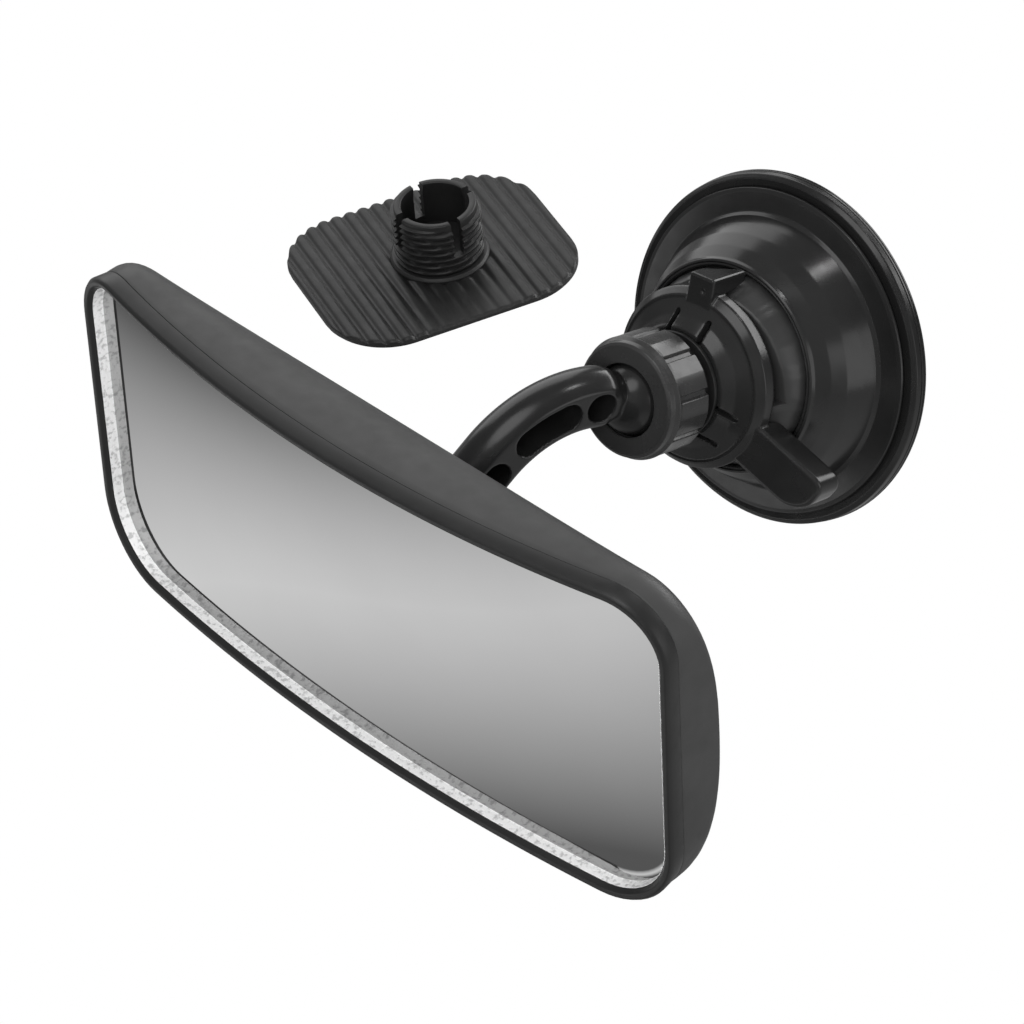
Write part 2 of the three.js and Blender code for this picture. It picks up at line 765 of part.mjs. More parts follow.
// The arm's centre line in its own plane, as points with tangents, from ball to ball.
function armPath(span, rise) {
  const centre = new THREE.Vector2(ARCH_CENTRE_ALONG, ARCH_CENTRE_UP);
  const tangentAngle = (from, side) => {
    const toCentre = centre.clone().sub(from);
    const half = Math.asin(ARCH_RADIUS / toCentre.length());
    return Math.atan2(toCentre.y, toCentre.x) + side * half;
  };
  const start = new THREE.Vector2(0, 0);
  const end = new THREE.Vector2(span, rise);
  const up = tangentAngle(start, 1);
  const down = tangentAngle(end, -1) + Math.PI;
  const onArch = (angle) => {
    const normal = new THREE.Vector2(-Math.sin(angle), Math.cos(angle));
    return centre.clone().addScaledVector(normal, ARCH_RADIUS);
  };
  const stations = [];
  const straight = (from, to, angle, steps) => {
    for (let i = 0; i < steps; i++) {
      stations.push({ at: from.clone().lerp(to, i / steps), angle });
    }
  };
  const turn = Math.atan2(Math.sin(down - up), Math.cos(down - up));
  straight(start, onArch(up), up, 5);
  for (let i = 0; i < ARCH_STEPS; i++) {
    const angle = up + (turn * i) / ARCH_STEPS;
    stations.push({ at: onArch(angle), angle });
  }
  straight(onArch(up + turn), end, up + turn, 4);
  stations.push({ at: end, angle: up + turn });
  return { stations, centre, up, down: up + turn };
}

function armRadius(fromHead, fromFoot) {
  const ease = (t, a, b) => THREE.MathUtils.smoothstep(t, a, b);
  const head = HEAD_NECK_RADIUS + (ARM_RADIUS - HEAD_NECK_RADIUS) * ease(fromHead, 9.5, 15.5);
  const foot = FOOT_NECK_RADIUS + (ARM_RADIUS - FOOT_NECK_RADIUS) * ease(fromFoot, 5, 9.5);
  return Math.min(head, foot);
}

// A pocket in the arm's flat side, between two angles of the arch.
function armPocket(centre, fromDeg, toDeg) {
  const half = 2.75;
  const angle = (degrees) => Math.PI / 2 - THREE.MathUtils.degToRad(degrees);
  const inset = half / ARCH_RADIUS;
  const a0 = angle(fromDeg) - inset;
  const a1 = angle(toDeg) + inset;
  const shape = new THREE.Shape();
  const endAt = (a) => [centre.x + ARCH_RADIUS * Math.cos(a), centre.y + ARCH_RADIUS * Math.sin(a)];
  shape.absarc(centre.x, centre.y, ARCH_RADIUS + half, a0, a1, true);
  shape.absarc(...endAt(a1), half, a1, a1 - Math.PI, true);
  shape.absarc(centre.x, centre.y, ARCH_RADIUS - half, a1, a0, false);
  shape.absarc(...endAt(a0), half, a0 + Math.PI, a0, true);
  const tool = new THREE.ExtrudeGeometry(shape, { depth: 9, bevelEnabled: false, curveSegments: 6 });
  return toSolid(tool);
}

// The arm lies in the plane x (along), y (up), with its flat side towards +z.
function armBody(span, rise) {
  const { stations, centre } = armPath(span, rise);
  const end = new THREE.Vector2(span, rise);
  const sides = 12;
  const rings = stations.map(({ at, angle }) => {
    const radius = armRadius(at.length(), at.distanceTo(end));
    const flat = radius * (radius > ARM_RADIUS - 0.4 ? 0.79 : 0.95);
    const ring = [];
    for (let i = 0; i < sides; i++) {
      const round = (2 * Math.PI * i) / sides;
      const across = Math.min(radius * Math.cos(round), flat);
      const outwards = radius * Math.sin(round);
      ring.push(new THREE.Vector3(
        at.x - Math.sin(angle) * outwards,
        at.y + Math.cos(angle) * outwards,
        across,
      ));
    }
    return ring;
  });
  const ball = () => toSolid(new THREE.SphereGeometry(BALL_RADIUS, 20, 12));
  const bar = loft(rings, false);
  const pocketFloor = -1.8;
  const pockets = [[-49, -33.5], [-26.5, 7.6], [11, 25.5]].map(([from, to]) =>
    armPocket(centre, from, to).translate([0, 0, pocketFloor]));
  return join(cut(bar, ...pockets), ball(), ball().translate([span, rise, 0]));
}

// ---- Spare base ---------------------------------------------------------

function roundedPlate(length, width, corner, bottom, top) {
  const shape = new THREE.Shape();
  const x = length / 2 - corner;
  const y = width / 2 - corner;
  shape.absarc(x, -y, corner, -Math.PI / 2, 0);
  shape.absarc(x, y, corner, 0, Math.PI / 2);
  shape.absarc(-x, y, corner, Math.PI / 2, Math.PI);
  shape.absarc(-x, -y, corner, Math.PI, 1.5 * Math.PI);
  const plate = new THREE.ExtrudeGeometry(shape, {
    depth: top - bottom,
    bevelEnabled: false,
    curveSegments: 8,
  });
  plate.translate(0, 0, bottom);
  return toSolid(plate);
}

function spareBase() {
  const bottom = PAD_THICKNESS;
  const top = bottom + BASE_THICKNESS;
  const blank = roundedPlate(BASE_LENGTH, BASE_WIDTH, BASE_CORNER, bottom, top + BASE_RIB_HEIGHT);
  const grooves = [];
  const reach = Math.floor(BASE_LENGTH / 2 / BASE_RIB_PITCH);
  for (let i = -reach; i <= reach; i++) {
    const x = i * BASE_RIB_PITCH;
    grooves.push(block(x - 0.6, x + 0.6, -BASE_WIDTH, BASE_WIDTH, top, top + 2));
  }
  const foot = cylinder(THREAD_RADIUS + 1.1, top - 0.1, top + 1.3, 32);
  const fingers = collet({
    height: BASE_COLLET_HEIGHT - 1,
    boreDepth: 10,
    slotDepth: 8,
    slotTurn: 6,
    threadBottom: 1.2,
  }).translate([0, 0, top + 1]);
  const socket = join(foot, fingers).translate([BASE_COLLET_ASIDE, 0, 0]);
  return join(cut(blank, ...grooves), socket);
}

function adhesivePad() {
  return roundedPlate(BASE_LENGTH - 1, BASE_WIDTH - 1, BASE_CORNER - 0.5, 0, PAD_THICKNESS - 0.05);
}

// ---- Assembly -----------------------------------------------------------

const mirror = new THREE.Group();

const head = new THREE.Group();
head.add(part("rear_shell", rearShell(), MATT_BLACK));
head.add(part("front_bezel", frontBezel(), SATIN_BLACK));
head.add(part("mirror_glass", mirrorGlass(), MIRROR));
head.add(part("foam_pad_left", foamPad(-1), FOAM));
head.add(part("foam_pad_right", foamPad(1), FOAM));
head.add(part("retainer_plate", retainerPlate(), STEEL));
BOSS_PLACES.forEach((place, i) => {
  head.add(part(`plate_screw_${i + 1}`, plateScrew(place), STEEL));
});
head.add(part("socket_cup", socketCup(), SATIN_BLACK));
head.add(part("socket_liner", socketLiner(), ACETAL));
head.add(part("pressure_cup", pressureCup(), ACETAL));
head.add(part("pressure_spring", pressureSpring(), STEEL));
mirror.add(head);

// The foot leans on the lowest point of its rubber rim, level with the head's lower edge.
const floor = -HEAD_HEIGHT / 2;
const foot = new THREE.Group();
const footAxis = new THREE.Vector3(
  Math.sin(FOOT_YAW) * Math.cos(FOOT_LEAN),
  -Math.cos(FOOT_YAW) * Math.cos(FOOT_LEAN),
  Math.sin(FOOT_LEAN),
);
const footRight = new THREE.Vector3(Math.cos(FOOT_YAW), Math.sin(FOOT_YAW), 0);
const footUp = footAxis.clone().cross(footRight);
foot.setRotationFromMatrix(new THREE.Matrix4().makeBasis(footRight, footUp, footAxis));
const rimDrop = CUP_RADIUS * Math.cos(FOOT_LEAN) - RIM_CHAMFER * Math.sin(FOOT_LEAN);
foot.position.set(FOOT_ASIDE, FOOT_BACK, floor + rimDrop);
foot.add(part("suction_rubber", suctionRubber(), RUBBER_BLACK));
foot.add(part("dome_housing", domeHousing(), GLOSS_BLACK));
foot.add(part("cam_ring", camRing(), GLOSS_BLACK));
foot.add(part("lock_lever", lockLever(), GLOSS_BLACK));
foot.add(part("post_collet", postCollet(), SATIN_BLACK));
foot.add(part("lift_disc", liftDisc(), SATIN_BLACK));
foot.add(part("stem_screw", stemScrew(), STEEL));
foot.add(part("seat_cup", seatCup(), ACETAL));
foot.add(part("seat_pad", seatPad(), ACETAL));
foot.add(part("clamp_nut", clampNut(), GLOSS_BLACK));
mirror.add(foot);

const headBall = new THREE.Vector3(0, HEAD_BALL_BEHIND, 0);
const footBall = foot.position.clone().addScaledVector(footAxis, FOOT_BALL_HEIGHT);
const reach = footBall.clone().sub(headBall);
const armAlong = new THREE.Vector3(reach.x, reach.y, 0).normalize();
const armUp = new THREE.Vector3(0, 0, 1);
const armSide = armAlong.clone().cross(armUp);
const arm = new THREE.Group();
arm.setRotationFromMatrix(new THREE.Matrix4().makeBasis(armAlong, armUp, armSide));
arm.position.copy(headBall);
arm.add(part("arm", armBody(reach.dot(armAlong), reach.z), GLOSS_BLACK));
mirror.add(arm);

const spare = new THREE.Group();
spare.position.set(BASE_POSITION.x, BASE_POSITION.y, floor);
spare.rotation.z = BASE_YAW;
spare.add(part("spare_base", spareBase(), MATT_BLACK));
spare.add(part("adhesive_pad", adhesivePad(), FOAM));
mirror.add(spare);

// The origin is below the middle of the whole, on the surface it stands on.
const extent = new THREE.Box3().setFromObject(mirror, true);
const middle = extent.getCenter(new THREE.Vector3());
mirror.position.set(-middle.x, -middle.y, -extent.min.z);

export default mirror;
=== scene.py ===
"""Looks of an interior rearview mirror on a twist-lock suction foot, with its spare base.

Shapes are worked out in millimetres, each in the frame of its own group (head, foot, arm or
spare base), and are put in the row frame, in metres, when they become pieces.
"""

import json
import math

import bmesh
import bpy
from mathutils import Matrix, Vector, noise


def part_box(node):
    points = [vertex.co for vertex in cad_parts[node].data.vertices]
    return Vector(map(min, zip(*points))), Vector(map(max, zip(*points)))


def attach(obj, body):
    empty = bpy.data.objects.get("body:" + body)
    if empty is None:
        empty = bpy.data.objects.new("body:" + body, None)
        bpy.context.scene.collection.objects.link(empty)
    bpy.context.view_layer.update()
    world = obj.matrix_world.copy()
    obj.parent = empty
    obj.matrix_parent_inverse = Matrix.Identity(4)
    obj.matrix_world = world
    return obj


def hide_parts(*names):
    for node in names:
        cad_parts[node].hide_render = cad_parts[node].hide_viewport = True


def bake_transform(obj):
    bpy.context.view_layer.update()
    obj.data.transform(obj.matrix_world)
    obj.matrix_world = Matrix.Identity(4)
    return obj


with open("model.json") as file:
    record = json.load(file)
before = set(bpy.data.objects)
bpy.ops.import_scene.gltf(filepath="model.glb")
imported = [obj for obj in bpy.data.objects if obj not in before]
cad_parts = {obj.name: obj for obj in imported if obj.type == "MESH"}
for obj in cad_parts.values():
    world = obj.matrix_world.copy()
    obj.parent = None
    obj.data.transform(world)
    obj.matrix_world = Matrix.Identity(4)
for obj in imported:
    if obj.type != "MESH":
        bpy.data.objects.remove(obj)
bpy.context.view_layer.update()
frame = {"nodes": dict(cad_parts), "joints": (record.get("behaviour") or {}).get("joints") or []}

MM = 0.001
JOINTS = {joint["name"]: joint for joint in frame["joints"]}

# ---- Sizes, in millimetres, as in the CAD model ------------------------------

HEAD_LENGTH = 150.7
HEAD_HEIGHT = 69.5
HEAD_CORNER_TOP = 12.7
HEAD_CORNER_BOTTOM = 15.9
BEND_RADIUS_TOP = 297
BEND_RADIUS_BOTTOM = 457
SHELL_DEPTH = 19.4
SHELL_WALL = 1.5
SHELL_END_TAPER = 0.2
SHELL_TOP_TAPER = 23.2
SHELL_BOTTOM_TAPER = 40
SHELL_BACK_BOW = 2.6
SHELL_BACK_CORNER = 8
SHELL_ROUNDNESS = 3.04
BEZEL_STANDS = 3.65
LIP_WIDTH = 2.2
GLASS_INSET = 2
GLASS_BACK = -1.2
SILVER_FRONT = 0.5
GLASS_EDGE = 2.6  # where the ground edge of the glass ends
HEAD_BALL_BEHIND = 16
BALL_RADIUS = 7
SOCKET_OUTER = 11.6
SOCKET_FLANGE = 15.5
LINER_OUTER = 9.9

CUP_RADIUS = 33.75
FLANGE_RADIUS = 31.2
RUBBER_INNER = 26
COLLAR_RADIUS = 20
SLEEVE_RADIUS = 8.6
POST_RADIUS = 6.4
CAM_FOOT_RADIUS = 18.7
CAM_TOP_RADIUS = 16.2
COLLAR_TOP = 17.4
CAM_INNER = 12.4
CAM_LOW = 20.4
CAM_RISE = 3
CAM_RAMPS = 3
CAM_FACETS = 18
KNOB_RADIUS = 17.2
KNOB_BORE = 9.2
KNOB_BOTTOM = 24
KNOB_TOP = 31.3
NUT_BOTTOM = 35.3
NUT_TOP = 46.1
NUT_RADIUS = 11.5
NUT_FLUTES = 9
FOOT_BALL_HEIGHT = 42.8
THREAD_RADIUS = 9.2
THREAD_ROOT = THREAD_RADIUS - 0.72
THREAD_PITCH = 1.5
COLLET_BORE = 7.35

LEVER_ANGLE = math.radians(-26.5)
LEVER_REACH = 32.2
LEVER_WIDTH = 9.4
LEVER_DEPTH = 6.4
LEVER_TOP = 31
LEVER_SLOPE = 0.24
TAB_ANGLE = math.radians(92)
TAB_HALF = 2.8
TAB_REACH = 20.4
TAB_TOP = 28.3
TONGUES = 3
LUG_ANGLE = math.radians(6)

ARCH_RADIUS = 23.8
ARCH_CENTRE = Vector((31.1, -6.8))
ARM_RADIUS = 5.6
HEAD_NECK_RADIUS = 3.1
FOOT_NECK_RADIUS = 4.2

BASE_LENGTH = 54.7
BASE_WIDTH = 45.7
BASE_CORNER = 14.1
PAD_THICKNESS = 0.6
BASE_TOP = 1.4
BASE_RIB_PITCH = 3
BASE_RIB_HEIGHT = 0.5
BASE_COLLET_HEIGHT = 13.2
BASE_COLLET_ASIDE = 1.8
BASE_YAW = math.radians(70.8)

# ---- Places of the groups, from the frame ------------------------------------


def basis(x_axis, y_axis, z_axis, origin):
    """The matrix that takes a group's own millimetres to the row frame's."""
    matrix = Matrix((x_axis, y_axis, z_axis)).transposed().to_4x4()
    matrix.translation = origin
    return matrix


def joint_place(name):
    return Vector(JOINTS[name]["pos_m"]) / MM


head_ball = joint_place("head_tilt")
foot_ball = joint_place("arm_swivel")
HEAD = Matrix.Translation(head_ball - Vector((0, HEAD_BALL_BEHIND, 0)))

foot_axis = Vector(JOINTS["lever_turn"]["axis"]).normalized()
foot_right = Vector((-foot_axis.y, foot_axis.x, 0)).normalized()
FOOT = basis(foot_right, foot_axis.cross(foot_right), foot_axis, joint_place("lever_turn"))

ball_to_ball = foot_ball - head_ball
arm_along = Vector((ball_to_ball.x, ball_to_ball.y, 0)).normalized()
arm_up = Vector((0, 0, 1))
ARM = basis(arm_along, arm_up, arm_along.cross(arm_up), head_ball)
ARM_SPAN = ball_to_ball.dot(arm_along)
ARM_RISE = ball_to_ball.z

pad_low, pad_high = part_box("adhesive_pad")
pad_middle = (pad_low + pad_high) / 2 / MM
SPARE = Matrix.Translation((pad_middle.x, pad_middle.y, 0)) @ Matrix.Rotation(BASE_YAW, 4, "Z")

# ---- Mesh tools ----------------------------------------------------------------


def to_mesh(points, faces, outwards=True):
    mesh = bpy.data.meshes.new("shape")
    mesh.from_pydata([tuple(p) for p in points], [], faces)
    shape = bmesh.new()
    shape.from_mesh(mesh)
    bmesh.ops.remove_doubles(shape, verts=shape.verts, dist=1e-4)
    if outwards:
        bmesh.ops.recalc_face_normals(shape, faces=shape.faces)
    shape.to_mesh(mesh)
    shape.free()
    return mesh


def through(mesh, setup):
    """The mesh after the modifiers that setup puts on an object holding it."""
    holder = bpy.data.objects.new("holder", mesh)
    bpy.context.scene.collection.objects.link(holder)
    setup(holder)
    graph = bpy.context.evaluated_depsgraph_get()
    result = bpy.data.meshes.new_from_object(holder.evaluated_get(graph))
    result.materials.clear()
    bpy.data.objects.remove(holder)
    return result


def combine(mesh, tool, operation="DIFFERENCE"):
    other = bpy.data.objects.new("tool", tool)
    bpy.context.scene.collection.objects.link(other)

    def setup(holder):
        boolean = holder.modifiers.new("cut", "BOOLEAN")
        boolean.operation = operation
        boolean.solver = "MANIFOLD"
        boolean.object = other

    result = through(mesh, setup)
    bpy.data.objects.remove(other)
    return result


def merge(*meshes):
    """Several closed meshes as one, without a boolean."""
    shape = bmesh.new()
    for mesh in meshes:
        shape.from_mesh(mesh)
    result = bpy.data.meshes.new("shape")
    shape.to_mesh(result)
    shape.free()
    return result


def moulded(mesh, voxel, rounds):
    """The mesh as one skin with small fillets in its corners."""

    def setup(holder):
        remesh = holder.modifiers.new("skin", "REMESH")
        remesh.mode = "VOXEL"
        remesh.voxel_size = voxel
        smooth = holder.modifiers.new("soften", "SMOOTH")
        smooth.factor = 0.5
        smooth.iterations = rounds

    return through(mesh, setup)


def eased(mesh, width):
    """The mesh with its sharper edges rounded."""

    def setup(holder):
        bevel = holder.modifiers.new("round", "BEVEL")
        bevel.width = width
        bevel.segments = 4
        bevel.limit_method = "ANGLE"
        bevel.angle_limit = math.radians(30)

    return through(mesh, setup)


def softened(profile, closed=True, radius=0.25):
    """A profile whose corners are small arcs. A point is (r, z) or (r, z, fillet)."""
    steps = 5
    result = []
    count = len(profile)
    for i, corner in enumerate(profile):
        here = Vector(corner[:2])
        fillet = corner[2] if len(corner) > 2 else radius
        at_end = not closed and i in (0, count - 1)
        if at_end or fillet == 0 or here.x == 0:
            result.append(here)
            continue
        back = Vector(profile[i - 1][:2]) - here
        ahead = Vector(profile[(i + 1) % count][:2]) - here
        half = back.angle(ahead) / 2
        trim = min(fillet / max(math.tan(half), 0.05), 0.42 * back.length, 0.42 * ahead.length)
        start = here + back.normalized() * trim
        end = here + ahead.normalized() * trim
        result.append(start.lerp(start + back, min(0.3, 0.12 / back.length)))
        for step in range(steps + 1):
            t = step / steps
            result.append(start.lerp(here, t).lerp(here.lerp(end, t), t))
        result.append(end.lerp(end + ahead, min(0.3, 0.12 / ahead.length)))
    return [tuple(p) for p in result]


def turned(profile, segments=160, shaping=None):
    """A body of revolution about Z. shaping(angle, r, z) may change each point's r and z."""
    points = []
    for k in range(segments):
        angle = 2 * math.pi * k / segments
        for r, z in profile:
            if shaping:
                r, z = shaping(angle, r, z)
            points.append((r * math.cos(angle), r * math.sin(angle), z))
    count = len(profile)
    faces = []
    closed = profile[0][0] > 0
    for k in range(segments):
        here = k * count
        there = ((k + 1) % segments) * count
        for i in range(count if closed else count - 1):
            j = (i + 1) % count
            faces.append((here + i, there + i, there + j, here + j))
    return to_mesh(points, faces)


def prism(outline, low, high):
    """An upright prism on a plan outline. low and high may be functions of x and y."""

    def at(level, x, y):
        return level(x, y) if callable(level) else level

    count = len(outline)
    points = [(x, y, at(level, x, y)) for level in (low, high) for x, y in outline]
    faces = [tuple(range(count))[::-1], tuple(range(count, 2 * count))]
    faces += [(i, (i + 1) % count, count + (i + 1) % count, count + i) for i in range(count)]
    return to_mesh(points, faces)


def arc(x, y, radius, start_deg, end_deg, steps=12):
    angles = [math.radians(start_deg + (end_deg - start_deg) * i / steps) for i in range(steps + 1)]
    return [(x + radius * math.cos(a), y + radius * math.sin(a)) for a in angles]


def sphere_arc(radius, start_deg, end_deg, steps):
    """Points (r, z) of an arc about the origin; the angle is from +Z."""
    return [(y, x) for x, y in arc(0, 0, radius, start_deg, end_deg, steps)]


def tube(rings, open_ended=False):
    """A skin over rings of equal counts. It closes on itself unless it is open_ended."""
    count = len(rings[0])
    points = [p for ring in rings for p in ring]
    faces = []
    last = len(rings) - 1 if open_ended else len(rings)
    for k in range(last):
        here = k * count
        there = ((k + 1) % len(rings)) * count
        for i in range(count):
            j = (i + 1) % count
            faces.append((here + i, here + j, there + j, there + i))
    return points, faces


# ---- Pieces --------------------------------------------------------------------


def piece(name, mesh, place, body, looks, nodes):
    """A finished piece: in the row frame, shaded, painted and riding on its body."""
    mesh.transform(place)
    mesh.transform(Matrix.Scale(MM, 4))
    mesh.shade_smooth()
    mesh.set_sharp_from_angle(angle=math.radians(38))
    mesh.name = name
    for look in looks:
        mesh.materials.append(look)
    obj = bpy.data.objects.new(name, mesh)
    bpy.context.scene.collection.objects.link(obj)
    if body:
        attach(obj, body)
    if nodes:
        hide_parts(*nodes)
    return obj


# ---- Materials -----------------------------------------------------------------


class Look:
    """A procedural material around one Principled shader."""

    def __init__(self, name):
        self.material = bpy.data.materials.new(name)
        self.material.use_nodes = True
        self.tree = self.material.node_tree
        self.shader = self.tree.nodes["Principled BSDF"]
        self.place = self.tree.nodes.new("ShaderNodeTexCoord").outputs["Object"]

    def set(self, **values):
        for name, value in values.items():
            self.shader.inputs[name.replace("_", " ")].default_value = value

    def noise(self, size_mm, detail=3.0, stretch=None):
        """A noise whose lumps are about size_mm wide."""
        place = self.place
        if stretch:
            mapping = self.tree.nodes.new("ShaderNodeMapping")
            mapping.inputs["Scale"].default_value = stretch
            self.tree.links.new(place, mapping.inputs["Vector"])
            place = mapping.outputs["Vector"]
        node = self.tree.nodes.new("ShaderNodeTexNoise")
        node.inputs["Scale"].default_value = 1 / (size_mm * MM)
        node.inputs["Detail"].default_value = detail
        self.tree.links.new(place, node.inputs["Vector"])
        return node.outputs["Fac"]

    def ranged(self, value, low, high, clip_low=0.3, clip_high=0.7):
        node = self.tree.nodes.new("ShaderNodeMapRange")
        node.inputs["From Min"].default_value = clip_low
        node.inputs["From Max"].default_value = clip_high
        node.inputs["To Min"].default_value = low
        node.inputs["To Max"].default_value = high
        self.tree.links.new(value, node.inputs["Value"])
        return node.outputs["Result"]

    def tones(self, value, dark, light, low=0.35, high=0.65):
        ramp = self.tree.nodes.new("ShaderNodeValToRGB")
        ramp.color_ramp.elements[0].position = low
        ramp.color_ramp.elements[1].position = high
        ramp.color_ramp.elements[0].color = (*dark, 1)
        ramp.color_ramp.elements[1].color = (*light, 1)
        self.tree.links.new(value, ramp.inputs["Fac"])
        return ramp.outputs["Color"]

    def link(self, value, socket):
        self.tree.links.new(value, self.shader.inputs[socket])

    def bump(self, height, depth_mm):
        node = self.tree.nodes.new("ShaderNodeBump")
        node.inputs["Strength"].default_value = 1
        node.inputs["Distance"].default_value = depth_mm * MM
        self.tree.links.new(height, node.inputs["Height"])
        if self.shader.inputs["Normal"].links:
            self.tree.links.new(self.shader.inputs["Normal"].links[0].from_socket, node.inputs["Normal"])
        self.link(node.outputs["Normal"], "Normal")


def grey(level):
    return (level, level, level)


def plastic(name, level, rough, grain_mm, grain_depth, variation=0.12, rough_spread=0.05):
    """Moulded plastic with its mould's grain."""
    look = Look(name)
    cloud = look.noise(14)
    tone = look.tones(cloud, grey(level * (1 - variation)), grey(level * (1 + variation)))
    look.link(tone, "Base Color")
    look.link(look.ranged(look.noise(3, 4), rough - rough_spread, rough + rough_spread), "Roughness")
    look.bump(look.noise(grain_mm, 2), grain_depth)
    return look.material


def metal(name, level, rough):
    look = Look(name)
    look.set(Metallic=1.0)
    look.link(look.tones(look.noise(2), grey(level * 0.9), grey(level)), "Base Color")
    look.link(look.ranged(look.noise(0.4, 2, (1, 1, 8)), rough, rough + 0.1), "Roughness")
    return look.material


def silvering():
    look = Look("silvering")
    look.set(Metallic=1.0)
    look.link(look.tones(look.noise(30), grey(0.41), grey(0.42)), "Base Color")
    look.link(look.ranged(look.noise(20), 0.015, 0.03), "Roughness")
    return look.material


def ground_edge():
    """The ground and lightly chipped edge of the mirror glass."""
    look = Look("ground_edge")
    look.set(Specular_IOR_Level=0.6)
    chips = look.noise(0.9, 6)
    look.link(look.tones(chips, grey(0.6), grey(0.97), 0.36, 0.5), "Base Color")
    look.link(look.ranged(look.noise(0.7, 3), 0.25, 0.6), "Roughness")
    look.bump(chips, 0.12)
    return look.material


def foam():
    look = Look("foam")
    look.set(Roughness=0.95)
    cells = look.noise(0.5, 5)
    look.link(look.tones(cells, grey(0.012), grey(0.05)), "Base Color")
    look.bump(cells, 0.15)
    return look.material


MATT_SHELL = plastic("matt_shell", level=0.04, rough=0.5, grain_mm=0.16, grain_depth=0.008)
SATIN_BEZEL = plastic("satin_bezel", level=0.012, rough=0.4, grain_mm=0.2, grain_depth=0.003)
GLOSS = plastic(
    "gloss_black", level=0.014, rough=0.2, grain_mm=1.6, grain_depth=0.0015, variation=0.2, rough_spread=0.03
)
GLOSS_ARM = plastic(
    "gloss_arm", level=0.012, rough=0.22, grain_mm=1.2, grain_depth=0.002, variation=0.2, rough_spread=0.03
)
TOWER = plastic("tower_black", level=0.03, rough=0.34, grain_mm=0.3, grain_depth=0.003)
NUT_PLASTIC = plastic("nut_black", level=0.03, rough=0.26, grain_mm=1.2, grain_depth=0.002)
SATIN = plastic("satin_black", level=0.014, rough=0.34, grain_mm=0.3, grain_depth=0.003)
BASE_PLASTIC = plastic("base_plastic", level=0.012, rough=0.46, grain_mm=0.22, grain_depth=0.006)
RUBBER = plastic("rubber", level=0.010, rough=0.24, grain_mm=0.8, grain_depth=0.003)
FOAM = foam()
STEEL = metal("steel", level=0.55, rough=0.22)
ACETAL = plastic("acetal", level=0.6, rough=0.4, grain_mm=0.3, grain_depth=0.003, variation=0.04)
SILVER = silvering()
GROUND_EDGE = ground_edge()

# ---- Mirror head ---------------------------------------------------------------

EDGE_STEPS = 64
CORNER_STEPS = 14
SIDE_ROWS = 26
COLUMNS = EDGE_STEPS + 2 * CORNER_STEPS


def columns(length, height, corner_top, corner_bottom):
    """A rounded rectangle in X and Z as pairs of points, top and bottom, from right to left."""

    def edge(corner, up):
        straight = length / 2 - corner
        side = height / 2 - corner
        quarter = [(straight + x, side + z) for x, z in arc(0, 0, corner, 0, 90, CORNER_STEPS)]
        middle = [(straight * (1 - 2 * i / EDGE_STEPS), height / 2) for i in range(1, EDGE_STEPS)]
        half = quarter + middle + [(-x, z) for x, z in reversed(quarter)]
        return [(x, up * z) for x, z in half]

    return list(zip(edge(corner_top, 1), edge(corner_bottom, -1)))


def boundary(pairs):
    """The columns' outline as one loop: up the right end, along the top and round."""

    def side(pair, t):
        return tuple(Vector(pair[1]).lerp(Vector(pair[0]), t))

    right = [side(pairs[0], i / SIDE_ROWS) for i in range(SIDE_ROWS)]
    top = [pair[0] for pair in pairs[:-1]]
    left = [side(pairs[-1], 1 - i / SIDE_ROWS) for i in range(SIDE_ROWS)]
    bottom = [pair[1] for pair in reversed(pairs[1:])]
    return right + top + left + bottom


def filled(pairs, start, place):
    """Points and faces that fill the columns' outline with rows, as a regular grid."""
    points = []
    for top, bottom in pairs:
        for row in range(SIDE_ROWS + 1):
            x, z = Vector(bottom).lerp(Vector(top), row / SIDE_ROWS)
            points.append(place(x, z))
    faces = []
    rows = SIDE_ROWS + 1
    for c in range(len(pairs) - 1):
        for r in range(SIDE_ROWS):
            corner = start + c * rows + r
            faces.append((corner, corner + 1, corner + rows + 1, corner + rows))
    return points, faces


def head_columns(inset):
    return columns(
        HEAD_LENGTH - 2 * inset,
        HEAD_HEIGHT - 2 * inset,
        max(HEAD_CORNER_TOP - inset, 1),
        max(HEAD_CORNER_BOTTOM - inset, 1),
    )


def bend_radius(z):
    share = min(max(0.5 + z / HEAD_HEIGHT, 0), 1)
    return 1 / (share / BEND_RADIUS_TOP + (1 - share) / BEND_RADIUS_BOTTOM)


def bent(x, z, forward):
    """Bends a point of the flat head; forward is its distance before the parting plane."""
    radius = bend_radius(z)
    angle = x / radius
    reach = radius + forward
    return Vector((math.sin(angle) * reach, radius - math.cos(angle) * reach, z))


def forward_of(point):
    """How far a point of the bent head is before the parting plane."""
    radius = bend_radius(point.z)
    return math.hypot(point.x, radius - point.y) - radius


def bent_ring(inset, forward):
    return [bent(x, z, forward) for x, z in boundary(head_columns(inset))]


def closed_skin(rings, end_caps):
    """Rings joined into a skin, with a filled grid over each end."""
    points, faces = tube(rings, open_ended=True)
    for pairs, place in end_caps:
        more, more_faces = filled(pairs, len(points), place)
        points += more
        faces += more_faces
    return to_mesh(points, faces)


